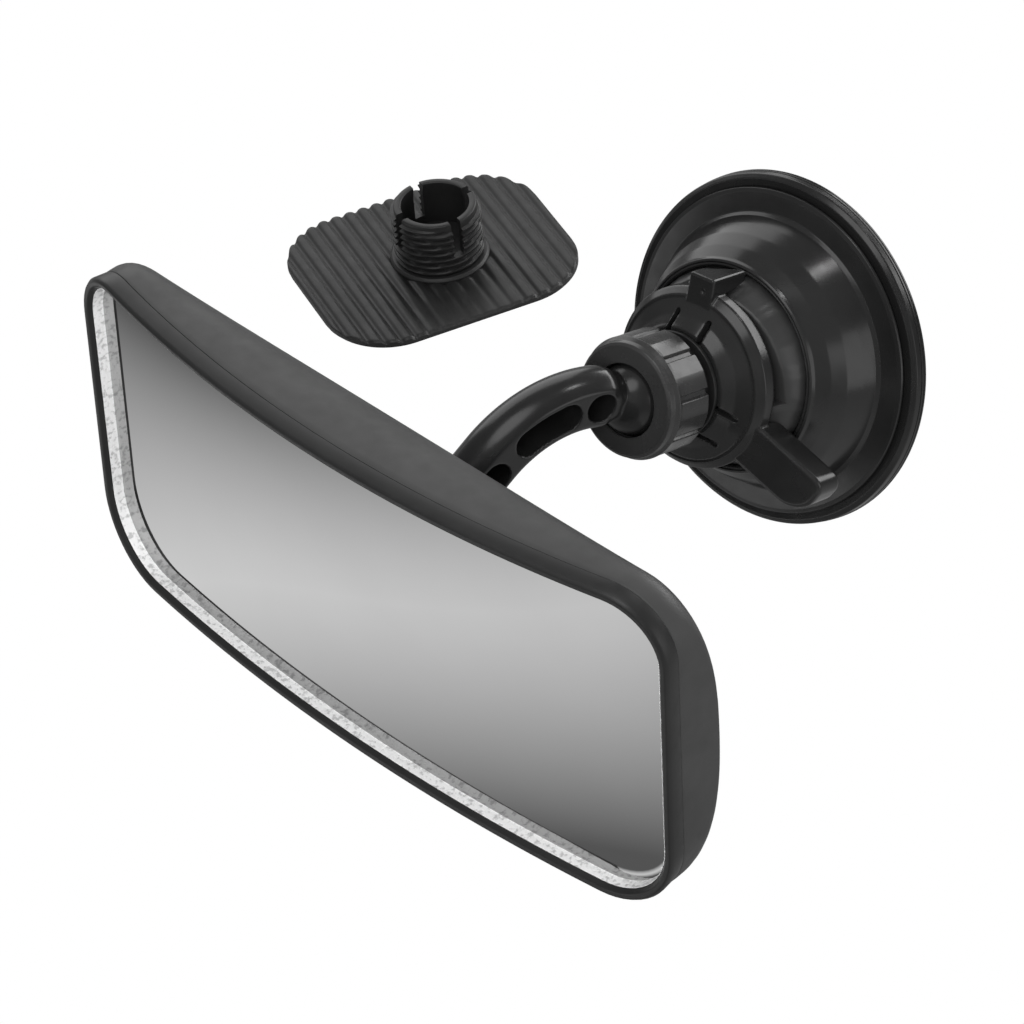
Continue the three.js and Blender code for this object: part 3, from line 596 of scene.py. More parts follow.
def shell_place(turn, wall):
    """The shell's outline at a turn from its rim, 0, to its back, 1, and how points go to it."""
    angle = turn * math.pi / 2
    power = 2 / SHELL_ROUNDNESS
    back = math.sin(angle) ** power
    inwards = 1 - max(math.cos(angle), 0) ** power
    top = HEAD_HEIGHT / 2 - wall - SHELL_TOP_TAPER * inwards
    bottom = wall + SHELL_BOTTOM_TAPER * inwards - HEAD_HEIGHT / 2
    height = top - bottom

    def corner(radius):
        return min(radius - wall + (SHELL_BACK_CORNER - radius) * inwards, height / 2 - 0.5)

    pairs = columns(
        HEAD_LENGTH - 2 * wall - 2 * SHELL_END_TAPER * inwards,
        height,
        corner(HEAD_CORNER_TOP),
        corner(HEAD_CORNER_BOTTOM),
    )

    def place(x, from_middle):
        z = from_middle + (top + bottom) / 2
        sweep = -SHELL_BACK_BOW * (x / (HEAD_LENGTH / 2)) ** 2
        rear = Vector((x, SHELL_DEPTH - wall + sweep, z))
        return bent(x, z, 0).lerp(rear, back)

    return pairs, place


def shell_ring(turn, wall):
    pairs, place = shell_place(turn, wall)
    return [place(x, z) for x, z in boundary(pairs)]


def spread(count, ease=1.0):
    """Shares from 0 to 1, closer together near 0 when ease is over 1."""
    return [(i / count) ** ease for i in range(count + 1)]


def rear_shell():
    rim_round = 0.25
    mouth_radius = SOCKET_OUTER + 0.25
    mouth_edge = SOCKET_OUTER + 0.9
    outside = [shell_ring(turn, 0) for turn in spread(40, 1.15)[1:]]
    inside = [shell_ring(turn, SHELL_WALL) for turn in reversed(spread(14)[1:])]
    lift = Vector((0, 1, 0))
    rim = []
    for wall, behind in ((SHELL_WALL, 0.6), (SHELL_WALL, 0), (rim_round, 0), (0.08, 0.08), (0, rim_round)):
        rim.append([p + lift * behind for p in shell_ring(0, wall)])
    skin = closed_skin(inside + rim + outside, [shell_place(1, SHELL_WALL), shell_place(1, 0)])
    mouth = turned(softened([
        (0, -9),
        (mouth_radius, -9, 0),
        (mouth_radius, SHELL_DEPTH - 0.6, 0.3),
        (mouth_edge, SHELL_DEPTH + 0.1, 0),
        (mouth_edge, SHELL_DEPTH + 9, 0),
        (0, SHELL_DEPTH + 9),
    ], closed=False), 128)
    mouth.transform(Matrix.Rotation(math.radians(-90), 4, "X"))
    return combine(skin, mouth)


def front_bezel():
    wall = GLASS_INSET - 0.35
    under_lip = 2.05
    section = softened([
        (0, 0.1, 0.25),
        (0, BEZEL_STANDS - 0.75, 0.5),
        (0.55, BEZEL_STANDS, 0.5),
        (1.5, BEZEL_STANDS - 0.1, 0.6),
        (LIP_WIDTH, BEZEL_STANDS - 1.1, 0.3),
        (LIP_WIDTH, under_lip, 0.05),
        (wall, under_lip, 0.05),
        (wall, 0.1, 0.1),
    ])
    rings = [bent_ring(inset, forward) for inset, forward in section]
    points, faces = tube(rings)
    return to_mesh(points, faces)


def mirror_glass():
    """The silvered plate, with the ground edge of the glass standing round it."""
    behind_edge = LIP_WIDTH + 0.04
    edge_inset = LIP_WIDTH + 0.1
    under_lip = 1.95

    def ragged(inset, forward, amount):
        """A ring that waves a little, like a hand-ground edge."""
        ring = []
        for x, z in boundary(head_columns(inset)):
            wobble = noise.noise(Vector((x, z, forward)) * 1.3) + 0.6 * noise.noise(Vector((x, z, 9)) * 4.1)
            ring.append(bent(x, z, forward + amount * wobble))
        return ring

    rings = [
        bent_ring(GLASS_INSET, GLASS_BACK),
        bent_ring(GLASS_INSET, SILVER_FRONT),
        bent_ring(GLASS_INSET, under_lip),
        bent_ring(behind_edge, under_lip),
        bent_ring(behind_edge, GLASS_EDGE),
        bent_ring(edge_inset, GLASS_EDGE),
        bent_ring(edge_inset, SILVER_FRONT + 0.9),
        bent_ring(edge_inset, SILVER_FRONT + 0.55),
        ragged(edge_inset, SILVER_FRONT + 0.28, 0.12),
        bent_ring(edge_inset + 0.05, SILVER_FRONT + 0.02),
        bent_ring(edge_inset + 0.1, SILVER_FRONT),
    ]
    front = (head_columns(edge_inset + 0.1), lambda x, z: bent(x, z, SILVER_FRONT))
    back = (head_columns(GLASS_INSET), lambda x, z: bent(x, z, GLASS_BACK))
    mesh = closed_skin(rings, [back, front])
    for face in mesh.polygons:
        face.material_index = 1 if forward_of(face.center) > SILVER_FRONT + 0.015 else 0
    return mesh


def at_head_ball(mesh):
    """Turns a mesh made about Z to point out of the shell's back, round the ball."""
    mesh.transform(Matrix.Rotation(math.radians(-90), 4, "X"))
    mesh.transform(Matrix.Translation((0, HEAD_BALL_BEHIND, 0)))
    return mesh


def socket_cup():
    bore = LINER_OUTER + 0.15
    bottom = -8.7
    flange_top = -6
    return at_head_ball(turned(softened([
        (bore, bottom),
        (SOCKET_FLANGE, bottom),
        (SOCKET_FLANGE, flange_top),
        (SOCKET_OUTER, flange_top),
        (SOCKET_OUTER, 3.4, 0.5),
        (SOCKET_OUTER - 0.8, 4.3, 0.5),
        (9.5, 4.3, 0.3),
        (9.2, 3.5, 0.1),
        (bore, 3.5, 0.05),
    ]), 160))


def socket_liner():
    """The bearing ring: it grips the ball round its middle and clears the pressure cup below."""
    bottom = -6.8
    outside = [(5.3, bottom), (LINER_OUTER, bottom), (LINER_OUTER, 2.6), (9.3, 3.0), (8.5, 3.0)]
    grip = sphere_arc(BALL_RADIUS + 0.15, 75, 104, 14)
    room = sphere_arc(8.6, 105, 142, 10)
    return at_head_ball(turned(outside + grip + room, 128))


# ---- Foot ----------------------------------------------------------------------


def rubber_rim():
    """The cup's outer ring, with the fine moulded lines round its edge."""
    profile = softened([
        (RUBBER_INNER, 0.02, 0.1),
        (CUP_RADIUS - 0.6, 0, 0.2),
        (CUP_RADIUS, 0.45, 0.2),
        (CUP_RADIUS, 0.85, 0.1),
        (CUP_RADIUS - 0.25, 0.98, 0.05),
        (CUP_RADIUS - 0.02, 1.12, 0.05),
        (CUP_RADIUS - 0.05, 1.5, 0.1),
        (CUP_RADIUS - 0.3, 1.62, 0.05),
        (CUP_RADIUS - 0.1, 1.76, 0.05),
        (CUP_RADIUS - 0.25, 2.9, 0.5),
        (CUP_RADIUS - 1.1, 3.6, 0.4),
        (FLANGE_RADIUS + 0.4, 3.45, 0.2),
        (FLANGE_RADIUS - 0.6, 3.3, 0.1),
        (FLANGE_RADIUS - 3.2, 3.3, 0.1),
        (RUBBER_INNER, 3.2, 0.1),
    ])
    return turned(profile, 240)


def rubber_membrane():
    """The thin middle of the suction rubber, drawn raised in the middle where the post pulls it up."""
    edge = RUBBER_INNER - 0.02
    lower = [(0, 1.6, 3), (9, 1.52, 3), (17, 1.15, 3), (22, 0.6, 3), (edge, 0.02, 3)]
    upper = [(edge, 1.3, 1), (22, 2.2, 1), (14, 2.9, 1), (0, 3.2, 1)]
    return turned(softened(lower + upper, closed=False), 200)


def dome_housing():
    bore = POST_RADIUS + 0.25
    sleeve_bottom = 10.5
    sleeve_top = 23
    ceiling = 14.2
    profile = softened([
        (bore, sleeve_bottom, 0),
        (SLEEVE_RADIUS, sleeve_bottom, 0),
        (SLEEVE_RADIUS, ceiling, 0),
        (16.4, ceiling, 1),
        (21.6, 9.6, 2),
        (24, 5.6, 1),
        (24.4, 4.3, 0.3),
        (FLANGE_RADIUS - 3.4, 3.6, 0.1),
        (FLANGE_RADIUS - 0.4, 3.6, 0.2),
        (FLANGE_RADIUS, 3.95, 0.15),
        (FLANGE_RADIUS - 0.15, 4.45, 0.2),
        (FLANGE_RADIUS - 0.9, 4.62, 0.25),
        (26.7, 4.8, 0.35),
        (26.1, 5.5, 0.5),
        (25.2, 7.9, 4),
        (23.9, 11, 5),
        (22.2, 14, 5),
        (20.5, 16.4, 1.2),
        (COLLAR_RADIUS + 0.25, 17.1, 0.25),
        (COLLAR_RADIUS - 0.15, 17.4, 0.18),
        (COLLAR_RADIUS - 0.45, 17.15, 0.1),
        (COLLAR_RADIUS - 0.75, 17.35, 0.12),
        (COLLAR_RADIUS - 1.05, 17.1, 0.15),
        (COLLAR_RADIUS - 1.3, 16.3, 0.3),
        (SLEEVE_RADIUS, 16.2, 0.2),
        (SLEEVE_RADIUS, sleeve_top, 0.2),
        (bore, sleeve_top, 0.1),
    ])
    return turned(profile, 240)


def cam_outer(z):
    """The tower's radius, which narrows from its collar upwards."""
    share = (z - COLLAR_TOP) / (CAM_LOW + CAM_RISE - COLLAR_TOP)
    return CAM_FOOT_RADIUS + (CAM_TOP_RADIUS - CAM_FOOT_RADIUS) * max(share, 0)


def cam_ring():
    """A tower of flat blocks whose top is cut into equal ramps."""
    steps_per_facet = 10
    facet = 2 * math.pi / CAM_FACETS
    ramp_turn = 2 * math.pi / CAM_RAMPS
    bottom = 16.5

    def ring(angle):
        along = (angle % facet) / facet
        ramp = (angle % ramp_turn) / ramp_turn
        top = CAM_LOW + CAM_RISE * min(ramp / 0.8, 1)
        flat = math.cos(facet / 2) / math.cos((along - 0.5) * facet)
        groove = 0.5 * (1 - min(min(along, 1 - along) / 0.08, 1))

        def outer(z):
            return cam_outer(z) * flat - groove

        section = [
            (CAM_INNER, bottom),
            (outer(bottom), bottom),
            (outer(COLLAR_TOP), COLLAR_TOP),
            (outer(top - 0.5), top - 0.5),
            (outer(top) - 0.15, top - 0.12),
            (outer(top) - 0.5, top),
            (CAM_INNER + 0.4, top),
            (CAM_INNER, top - 0.4),
        ]
        return [Vector((r * math.cos(angle), r * math.sin(angle), z)) for r, z in section]

    rings = [ring(facet * (k + 0.5) / steps_per_facet) for k in range(CAM_FACETS * steps_per_facet)]
    points, faces = tube(rings)
    return to_mesh(points, faces)


def lever_bar():
    """The grip bar: it starts in the knob's wall and falls away outwards."""
    half = LEVER_WIDTH / 2
    start = KNOB_BORE + 0.5
    wide = 5.6
    narrow = 2.6
    plan = [(start, half), (start, -half)]
    plan += arc(LEVER_REACH - wide, wide - half, wide, -90, 0, 20)
    plan += arc(LEVER_REACH - narrow, half - narrow, narrow, 0, 90, 12)

    def top(x, y):
        return LEVER_TOP - LEVER_SLOPE * x

    def bottom(x, y):
        return LEVER_TOP - LEVER_DEPTH - LEVER_SLOPE * x

    bar = eased(prism(plan, bottom, top), 0.8)
    bar.transform(Matrix.Rotation(LEVER_ANGLE, 4, "Z"))
    return bar


def tower_space():
    """The room that the tower needs as the lever turns over it."""
    gap = 0.4
    top = KNOB_BOTTOM - 0.2
    return turned([
        (0, -1),
        (CAM_FOOT_RADIUS + gap, -1),
        (CAM_FOOT_RADIUS + gap, COLLAR_TOP),
        (cam_outer(top) + gap, top),
        (0, top),
    ], 160)


def box_plan(start, end, half):
    return [(start, -half), (end, -half), (end, half), (start, half)]


def lever_tab():
    """The stop finger: a root on the knob and a slanting blade that hangs outside the tower."""
    bottom = 18.6
    root_bottom = 25
    side = [
        (TAB_HALF, TAB_TOP),
        (-TAB_HALF, TAB_TOP),
        (-TAB_HALF, bottom),
        (-TAB_HALF + 0.8, bottom),
        (TAB_HALF, root_bottom),
    ]
    finger = prism(side, 17, TAB_REACH)
    # The prism stands on its side outline: x is across, y is up, and z is outwards.
    finger.transform(Matrix(((0, 0, 1, 0), (1, 0, 0, 0), (0, 1, 0, 0), (0, 0, 0, 1))))
    root = prism(box_plan(12.5, 17.6, TAB_HALF), root_bottom, TAB_TOP)
    tab = merge(eased(finger, 0.4), root)
    tab.transform(Matrix.Rotation(TAB_ANGLE, 4, "Z"))
    return tab


def lever_lug(turn):
    """A cam follower under the knob, at a turn from the first."""
    lug = prism(box_plan(12.9, 15.1, 0.95), CAM_LOW + 0.65, 26)
    lug.transform(Matrix.Rotation(LUG_ANGLE + turn, 4, "Z"))
    return lug


def slot_cutter(side, turn):
    """A cutter for one of the two slots beside a tongue of the knob."""
    half = 0.55
    far = 13 - half
    plan = [(8, side - half)] + arc(far, side, half, -90, 90, 8) + [(8, side + half)]
    cutter = prism(plan, 25, 33)
    cutter.transform(Matrix.Rotation(TAB_ANGLE + turn, 4, "Z"))
    return cutter


def lock_lever():
    knob = turned(softened([
        (KNOB_BORE, 24.6, 0.1),
        (11, 24.6, 0.1),
        (11, 28, 0.2),
        (14.4, 26.4, 0.3),
        (15.6, KNOB_BOTTOM, 0.2),
        (KNOB_RADIUS, KNOB_BOTTOM, 0.2),
        (KNOB_RADIUS, 26.6, 0.3),
        (15.8, 28.05, 0.3),
        (15.2, 28.0, 0.3),
        (12.6, 29.4, 2.0),
        (11.1, 30.7, 0.6),
        (10.5, KNOB_TOP, 0.3),
        (KNOB_BORE, KNOB_TOP, 0.2),
    ]), 240)
    turns = [2 * math.pi * i / TONGUES for i in range(TONGUES)]
    for turn in turns:
        for side in (-3.6, 3.6):
            knob = combine(knob, slot_cutter(side, turn))
    dimple = turned([(0, -0.4), (0.45, -0.4), (0.6, 1), (0, 1)], 24)
    dimple.transform(Matrix.Translation((0.1, 17.6, TAB_TOP)))
    tab = combine(lever_tab(), dimple)
    handle = combine(merge(lever_bar(), tab), tower_space())
    return moulded(merge(knob, handle, *[lever_lug(turn) for turn in turns]), 0.2, 4)


def thread(angle, r, z):
    """Moves a point of a threaded skin in or out along a helix."""
    if r < THREAD_RADIUS - 0.02:
        return r, z
    phase = (z / THREAD_PITCH - angle / (2 * math.pi)) % 1
    rise = min(max((abs(phase - 0.5) - 0.14) / 0.16, 0), 1)
    return r - 0.68 * rise, z


def collet(low, foot, high, bore_bottom, slot_bottom, slot_turn):
    """Threaded spring fingers round a ball socket, open at the top."""
    threaded = high - 1.2 - foot
    steps = int(threaded / 0.16)
    profile = [(0, low), (THREAD_ROOT, low), (THREAD_ROOT, foot)]
    profile += [(THREAD_RADIUS, foot + threaded * i / steps) for i in range(steps + 1)]
    profile += [
        (THREAD_ROOT, high - 0.9),
        (THREAD_ROOT, high - 0.3),
        (THREAD_RADIUS - 0.85, high - 0.1),
        (THREAD_RADIUS - 1.05, high),
        (COLLET_BORE - 0.2, high),
        (COLLET_BORE - 0.36, high - 0.12),
        (COLLET_BORE - 0.4, high - 0.6),
        (COLLET_BORE, high - 2.6),
        (COLLET_BORE, bore_bottom),
        (0, bore_bottom),
    ]
    body = turned(profile, 144, thread)
    for turn in (slot_turn, slot_turn + 90):
        slot = prism(box_plan(-12, 12, 1.1), slot_bottom, high + 1)
        slot.transform(Matrix.Rotation(math.radians(turn), 4, "Z"))
        body = combine(body, slot)
    return body


def post_collet():
    """The sliding post: a stem with a blind screw hole, a flange over the knob, and the collet."""
    bottom = 7.6
    shoulder = 24
    neck = KNOB_BORE - 0.3
    flange = KNOB_TOP + 0.3
    flange_radius = 10
    flange_top = flange + 0.8
    hole = 1.9
    hole_end = 16
    stem = turned(softened([
        (hole, bottom, 0),
        (POST_RADIUS, bottom, 0.2),
        (POST_RADIUS, shoulder, 0),
        (neck, shoulder, 0),
        (neck, flange, 0.1),
        (flange_radius, flange, 0.2),
        (flange_radius, flange_top, 0.2),
        (0, flange_top),
        (0, hole_end),
        (hole, hole_end, 0),
    ], closed=False), 96)
    fingers = collet(
        low=flange,
        foot=NUT_BOTTOM,
        high=FOOT_BALL_HEIGHT + 2.2,
        bore_bottom=33.8,
        slot_bottom=FOOT_BALL_HEIGHT - 5.4,
        slot_turn=30,
    )
    return combine(fingers, stem, "UNION")


def clamp_nut():
    """Nine broad lobes that end in a chamfer before the flat front ring."""
    lobe_end = NUT_TOP - 2.1
    bore = THREAD_RADIUS + 0.15
    mouth = 6.9
    profile = softened([
        (bore, NUT_BOTTOM, 0.2),
        (NUT_RADIUS - 0.5, NUT_BOTTOM, 0.4),
        (NUT_RADIUS, NUT_BOTTOM + 0.6, 0.4),
        (NUT_RADIUS, lobe_end, 0.3),
        (NUT_RADIUS - 0.55, lobe_end + 0.8, 0.3),
        (NUT_RADIUS - 0.75, NUT_TOP - 0.35, 0.3),
        (NUT_RADIUS - 1.3, NUT_TOP, 0.25),
        (mouth, NUT_TOP, 0.3),
        (mouth, NUT_TOP - 0.6, 0.1),
        (bore, NUT_TOP - 1.2, 0.05),
    ])
    dense = []
    slices = 24  # along the lobes
    for i, (r, z) in enumerate(profile):
        dense.append((r, z))
        next_r, next_z = profile[(i + 1) % len(profile)]
        if r > NUT_RADIUS - 0.1 and next_r > NUT_RADIUS - 0.1 and next_z - z > 2:
            dense += [
                (r + (next_r - r) * k / slices, z + (next_z - z) * k / slices) for k in range(1, slices)
            ]
    groove_half = 0.8 / NUT_RADIUS

    def fluted(angle, r, z):
        """Cuts the grooves between the lobes and crowns the lobes a little."""
        if r < NUT_RADIUS - 0.95 or z > NUT_TOP - 0.5:
            return r, z
        step = 2 * math.pi / NUT_FLUTES
        away = step / 2 - abs(((angle - step / 2) % step) - step / 2)
        across = min(max((away / groove_half - 0.45) / 0.55, 0), 1)
        depth = 1 - across * across * (3 - 2 * across)
        ending = min(max((lobe_end - 0.1 - z) / 0.7, 0), 1)
        crown = 0.12 * (away / (step / 2)) ** 2
        return r - 0.7 * depth * ending - 0.12 * ending + crown * ending, z

    return turned(dense, 720, fluted)


# ---- Arm -----------------------------------------------------------------------


def arm_stations():
    """Points of the arm's centre line with their direction, from the head ball to the foot ball."""

    def tangent(start, side):
        to_centre = ARCH_CENTRE - start
        half = math.asin(ARCH_RADIUS / to_centre.length)
        return math.atan2(to_centre.y, to_centre.x) + side * half

    def on_arch(angle):
        return ARCH_CENTRE + ARCH_RADIUS * Vector((-math.sin(angle), math.cos(angle)))

    rising = 40
    arching = 110
    falling = 30
    start = Vector((0, 0))
    end = Vector((ARM_SPAN, ARM_RISE))
    up = tangent(start, 1)
    down = tangent(end, -1) + math.pi
    turn = math.atan2(math.sin(down - up), math.cos(down - up))
    stations = [(start.lerp(on_arch(up), i / rising), up) for i in range(rising)]
    stations += [(on_arch(up + turn * i / arching), up + turn * i / arching) for i in range(arching)]
    stations += [(on_arch(up + turn).lerp(end, i / falling), up + turn) for i in range(falling + 1)]
    return stations


def smoothstep(value, low, high):
    t = min(max((value - low) / (high - low), 0), 1)
    return t * t * (3 - 2 * t)


def arm_bar():
    """A round bar, flat on the pocketed side, that narrows to a neck at each ball."""
    end = Vector((ARM_SPAN, ARM_RISE))
    sides = 64
    rings = []
    for at, angle in arm_stations():
        from_head = smoothstep(at.length, 9.5, 15.5)
        from_foot = smoothstep((at - end).length, 5, 9.5)
        head_neck = HEAD_NECK_RADIUS + (ARM_RADIUS - HEAD_NECK_RADIUS) * from_head
        foot_neck = FOOT_NECK_RADIUS + (ARM_RADIUS - FOOT_NECK_RADIUS) * from_foot
        radius = min(head_neck, foot_neck)
        flat = radius * (0.97 - 0.18 * smoothstep(radius, ARM_RADIUS - 1.6, ARM_RADIUS - 0.1))
        ring = []
        for i in range(sides):
            round_by = 2 * math.pi * i / sides
            across = min(radius * math.cos(round_by), flat)
            outwards = radius * math.sin(round_by)
            ring.append(Vector((
                at.x - math.sin(angle) * outwards,
                at.y + math.cos(angle) * outwards,
                across,
            )))
        rings.append(ring)
    points, faces = tube(rings, open_ended=True)
    last = len(points) - sides
    faces += [tuple(range(sides)), tuple(range(last, last + sides))]
    return to_mesh(points, faces)


def arm_pocket(from_deg, to_deg):
    """A cutter for a pocket between two angles from the arch's top, with round ends."""
    half = 2.75
    inset = math.degrees(half / ARCH_RADIUS)
    start = 90 - from_deg - inset
    end = 90 - to_deg + inset

    def round_end(deg, from_turn):
        at = math.radians(deg)
        centre = ARCH_CENTRE + ARCH_RADIUS * Vector((math.cos(at), math.sin(at)))
        return arc(*centre, half, from_turn, from_turn - 180, 16)[1:-1]

    plan = arc(*ARCH_CENTRE, ARCH_RADIUS + half, start, end, 24)
    plan += round_end(end, end)
    plan += arc(*ARCH_CENTRE, ARCH_RADIUS - half, end, start, 24)
    plan += round_end(start, start - 180)
    return prism(plan, -1.8, 9)


def ball_at(x, y):
    ball = turned(sphere_arc(BALL_RADIUS, 180, 0, 64), 128)
    ball.transform(Matrix.Translation((x, y, 0)))
    return ball


def arm():
    pockets = ((-49, -33.5), (-26.5, 7.6), (11, 25.5))
    bar = arm_bar()
    for start, end in pockets:
        bar = combine(bar, arm_pocket(start, end))
    return moulded(merge(bar, ball_at(0, 0), ball_at(ARM_SPAN, ARM_RISE)), 0.25, 5)


# ---- Spare base ----------------------------------------------------------------


def plate_columns(length, width, corner, count):
    """Pairs of plan points across a rounded plate, from its right end to its left."""
    pairs = []
    for i in range(count + 1):
        x = length / 2 * (1 - 2 * i / count)
        beyond = max(abs(x) - (length / 2 - corner), 0)
        y = width / 2 - corner + math.sqrt(max(corner**2 - beyond**2, 0))
        pairs.append((x, y))
    return pairs


def rib_height(x, y):
    """The corrugation's rounded ridges, which fade out before the plate's front edge."""
    wave = 0.5 + 0.5 * math.cos(2 * math.pi * x / BASE_RIB_PITCH)
    ridge = 1 - (1 - wave) ** 2.2
    front_fade = 1 - 0.75 * smoothstep(-y, 9, 15) * (1 - smoothstep(abs(x), 6, 15))
    return BASE_RIB_HEIGHT * ridge * front_fade


def base_plate():
    """The corrugated plate, as a grid of its top over a grid of its flat underside."""
    pairs = plate_columns(BASE_LENGTH, BASE_WIDTH, BASE_CORNER, 270)
    rows = 44
    edge = 0.35
    points = []
    for x, y_edge in pairs:
        scallop = 0.35 * (0.5 - 0.5 * math.cos(2 * math.pi * x / BASE_RIB_PITCH))
        top_edge = y_edge - scallop
        bottom_edge = -y_edge
        for row in range(rows + 1):
            t = 0.5 - 0.5 * math.cos(math.pi * row / rows)
            y = bottom_edge + (top_edge - bottom_edge) * t
            near = min(y - bottom_edge, top_edge - y, BASE_LENGTH / 2 - abs(x))
            drop = edge * (1 - smoothstep(near, 0, 0.6))
            points.append((x, y, BASE_TOP + rib_height(x, y) - drop))
    size = rows + 1
    total = len(points)
    points += [(x, y, PAD_THICKNESS) for x, y, z in points]
    faces = []
    last = len(pairs) - 1
    for c in range(last):
        for r in range(rows):
            a = c * size + r
            faces.append((a, a + 1, a + size + 1, a + size))
            faces.append((total + a, total + a + size, total + a + size + 1, total + a + 1))
        for r in (0, rows):
            a = c * size + r
            faces.append((a, a + size, total + a + size, total + a))
    for c in (0, last):
        for r in range(rows):
            a = c * size + r
            faces.append((a, a + 1, total + a + 1, total + a))
    return to_mesh(points, faces)


def spare_base():
    """The plate with its collet on a stepped foot."""
    foot = turned(softened([
        (0, BASE_TOP - 0.4),
        (THREAD_RADIUS + 1, BASE_TOP - 0.4, 0),
        (THREAD_RADIUS + 1, BASE_TOP + 0.7, 0.3),
        (THREAD_RADIUS + 0.5, BASE_TOP + 1.2, 0.3),
        (THREAD_RADIUS - 0.6, BASE_TOP + 1.3, 0.2),
        (0, BASE_TOP + 1.3),
    ], closed=False), 128)
    top = BASE_TOP + BASE_COLLET_HEIGHT
    fingers = collet(
        low=BASE_TOP + 0.9,
        foot=BASE_TOP + 1.7,
        high=top,
        bore_bottom=top - 10,
        slot_bottom=top - 8,
        slot_turn=6,
    )
    socket = combine(foot, fingers, "UNION")
    socket.transform(Matrix.Translation((BASE_COLLET_ASIDE, 0, 0)))
    return combine(base_plate(), socket, "UNION")


def adhesive_pad():
    pairs = plate_columns(BASE_LENGTH - 1, BASE_WIDTH - 1, BASE_CORNER - 0.5, 80)
    plan = pairs + [(x, -y) for x, y in reversed(pairs)]
    return prism(plan, 0, PAD_THICKNESS - 0.05)


# ---- All the pieces ------------------------------------------------------------

piece("shell_skin", rear_shell(), HEAD, "head", [MATT_SHELL], ["rear_shell"])
piece("bezel_skin", front_bezel(), HEAD, "head", [SATIN_BEZEL], ["front_bezel"])
piece("silvered_glass", mirror_glass(), HEAD, "head", [SILVER, GROUND_EDGE], ["mirror_glass"])
piece("socket_housing", socket_cup(), HEAD, "head", [SATIN], ["socket_cup"])
piece("socket_bush", socket_liner(), HEAD, "liner", [ACETAL], ["socket_liner"])
piece("rubber_rim", rubber_rim(), FOOT, "foot", [RUBBER], ["suction_rubber"])
membrane = piece("rubber_membrane", rubber_membrane(), FOOT, None, [RUBBER], [])
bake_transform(membrane)
piece("dome_cover", dome_housing(), FOOT, "foot", [GLOSS], ["dome_housing"])
piece("cam_tower", cam_ring(), FOOT, "foot", [TOWER], ["cam_ring"])
piece("lever_and_knob", lock_lever(), FOOT, "lever", [GLOSS], ["lock_lever"])
piece("collet_post", post_collet(), FOOT, "post", [SATIN], ["post_collet"])
piece("ring_nut", clamp_nut(), FOOT, "nut", [NUT_PLASTIC], ["clamp_nut"])
piece("arm_body", arm(), ARM, "arm", [GLOSS_ARM], ["arm"])
piece("spare_plate", spare_base(), SPARE, "spare", [BASE_PLASTIC], ["spare_base"])
piece("spare_pad", adhesive_pad(), SPARE, "spare", [FOAM], ["adhesive_pad"])

INNER_LOOKS = {
    "foam_pad_left": FOAM,
    "foam_pad_right": FOAM,
    "retainer_plate": STEEL,
    "pressure_cup": ACETAL,
    "pressure_spring": STEEL,
    "lift_disc": SATIN,
    "stem_screw": STEEL,
    "seat_cup": ACETAL,
    "seat_pad": ACETAL,
    **{f"plate_screw_{i}": STEEL for i in range(1, 5)},
}
for node, look in INNER_LOOKS.items():
    slots = frame["nodes"][node].data.materials
    slots.clear()
    slots.append(look)

# ---- Stage, lights and camera --------------------------------------------------

MIDDLE = HEAD.translation * MM

# Height of the view direction and the level of the surroundings there
WORLD_LEVELS = ((-1, 0.5), (-0.4, 0.45), (-0.15, 0.2), (0.1, 0.15), (1, 0.3))

# The card's place from the head's middle. Its band is bright along the middle and dim at the edges.
CARD_HALF = 0.6  # metres
CARD_MIDDLE = (-325, -325, -400)
CARD_TURN = math.radians(45)
BAND_EDGE = 95
BAND_STEPS = 8
BAND_DIM = 0.2
BAND_BRIGHT = 1.25
BAND_FALLOFF = 1.3

BACKDROP_RADIUS = 4.0  # metres

# The camera: its direction from the head, and its distances in metres
VIEW_AZIMUTH = 49.69
VIEW_ELEVATION = 40
VIEW_ROLL = math.radians(-5.52)
VIEW_DISTANCE = 0.84144
VIEW_ASIDE = 0.02879
VIEW_ABOVE = 0.01451
LENS_MM = 167.53


def levelled(tree, value, levels, interpolation):
    """A ramp's colour: value picks a grey between the places that levels gives."""
    first = levels[0][0]
    span = levels[-1][0] - first
    ramp = tree.nodes.new("ShaderNodeValToRGB")
    ramp.color_ramp.interpolation = interpolation
    tree.links.new(value, ramp.inputs["Fac"])
    elements = ramp.color_ramp.elements
    while len(elements) > 1:
        elements.remove(elements[-1])
    for i, (place, level) in enumerate(levels):
        share = (place - first) / span
        element = elements[0] if i == 0 else elements.new(share)
        element.position = share
        element.color = (*grey(level), 1)
    return ramp.outputs["Color"]


def share_of_axis(tree, coordinate, axis, low, high):
    """How far a coordinate's axis is between low and high, from 0 to 1."""
    coordinates = tree.nodes.new("ShaderNodeTexCoord")
    split = tree.nodes.new("ShaderNodeSeparateXYZ")
    tree.links.new(coordinates.outputs[coordinate], split.inputs["Vector"])
    place = tree.nodes.new("ShaderNodeMapRange")
    place.inputs["From Min"].default_value = low
    place.inputs["From Max"].default_value = high
    tree.links.new(split.outputs[axis], place.inputs["Value"])
    return place.outputs["Result"]


def emitter(name):
    """A material that glows white, and its emission node."""
    material = bpy.data.materials.new(name)
    material.use_nodes = True
    tree = material.node_tree
    tree.nodes.clear()
    glow = tree.nodes.new("ShaderNodeEmission")
    glow.inputs["Strength"].default_value = 1.0
    output = tree.nodes.new("ShaderNodeOutputMaterial")
    tree.links.new(glow.outputs["Emission"], output.inputs["Surface"])
    return material, glow


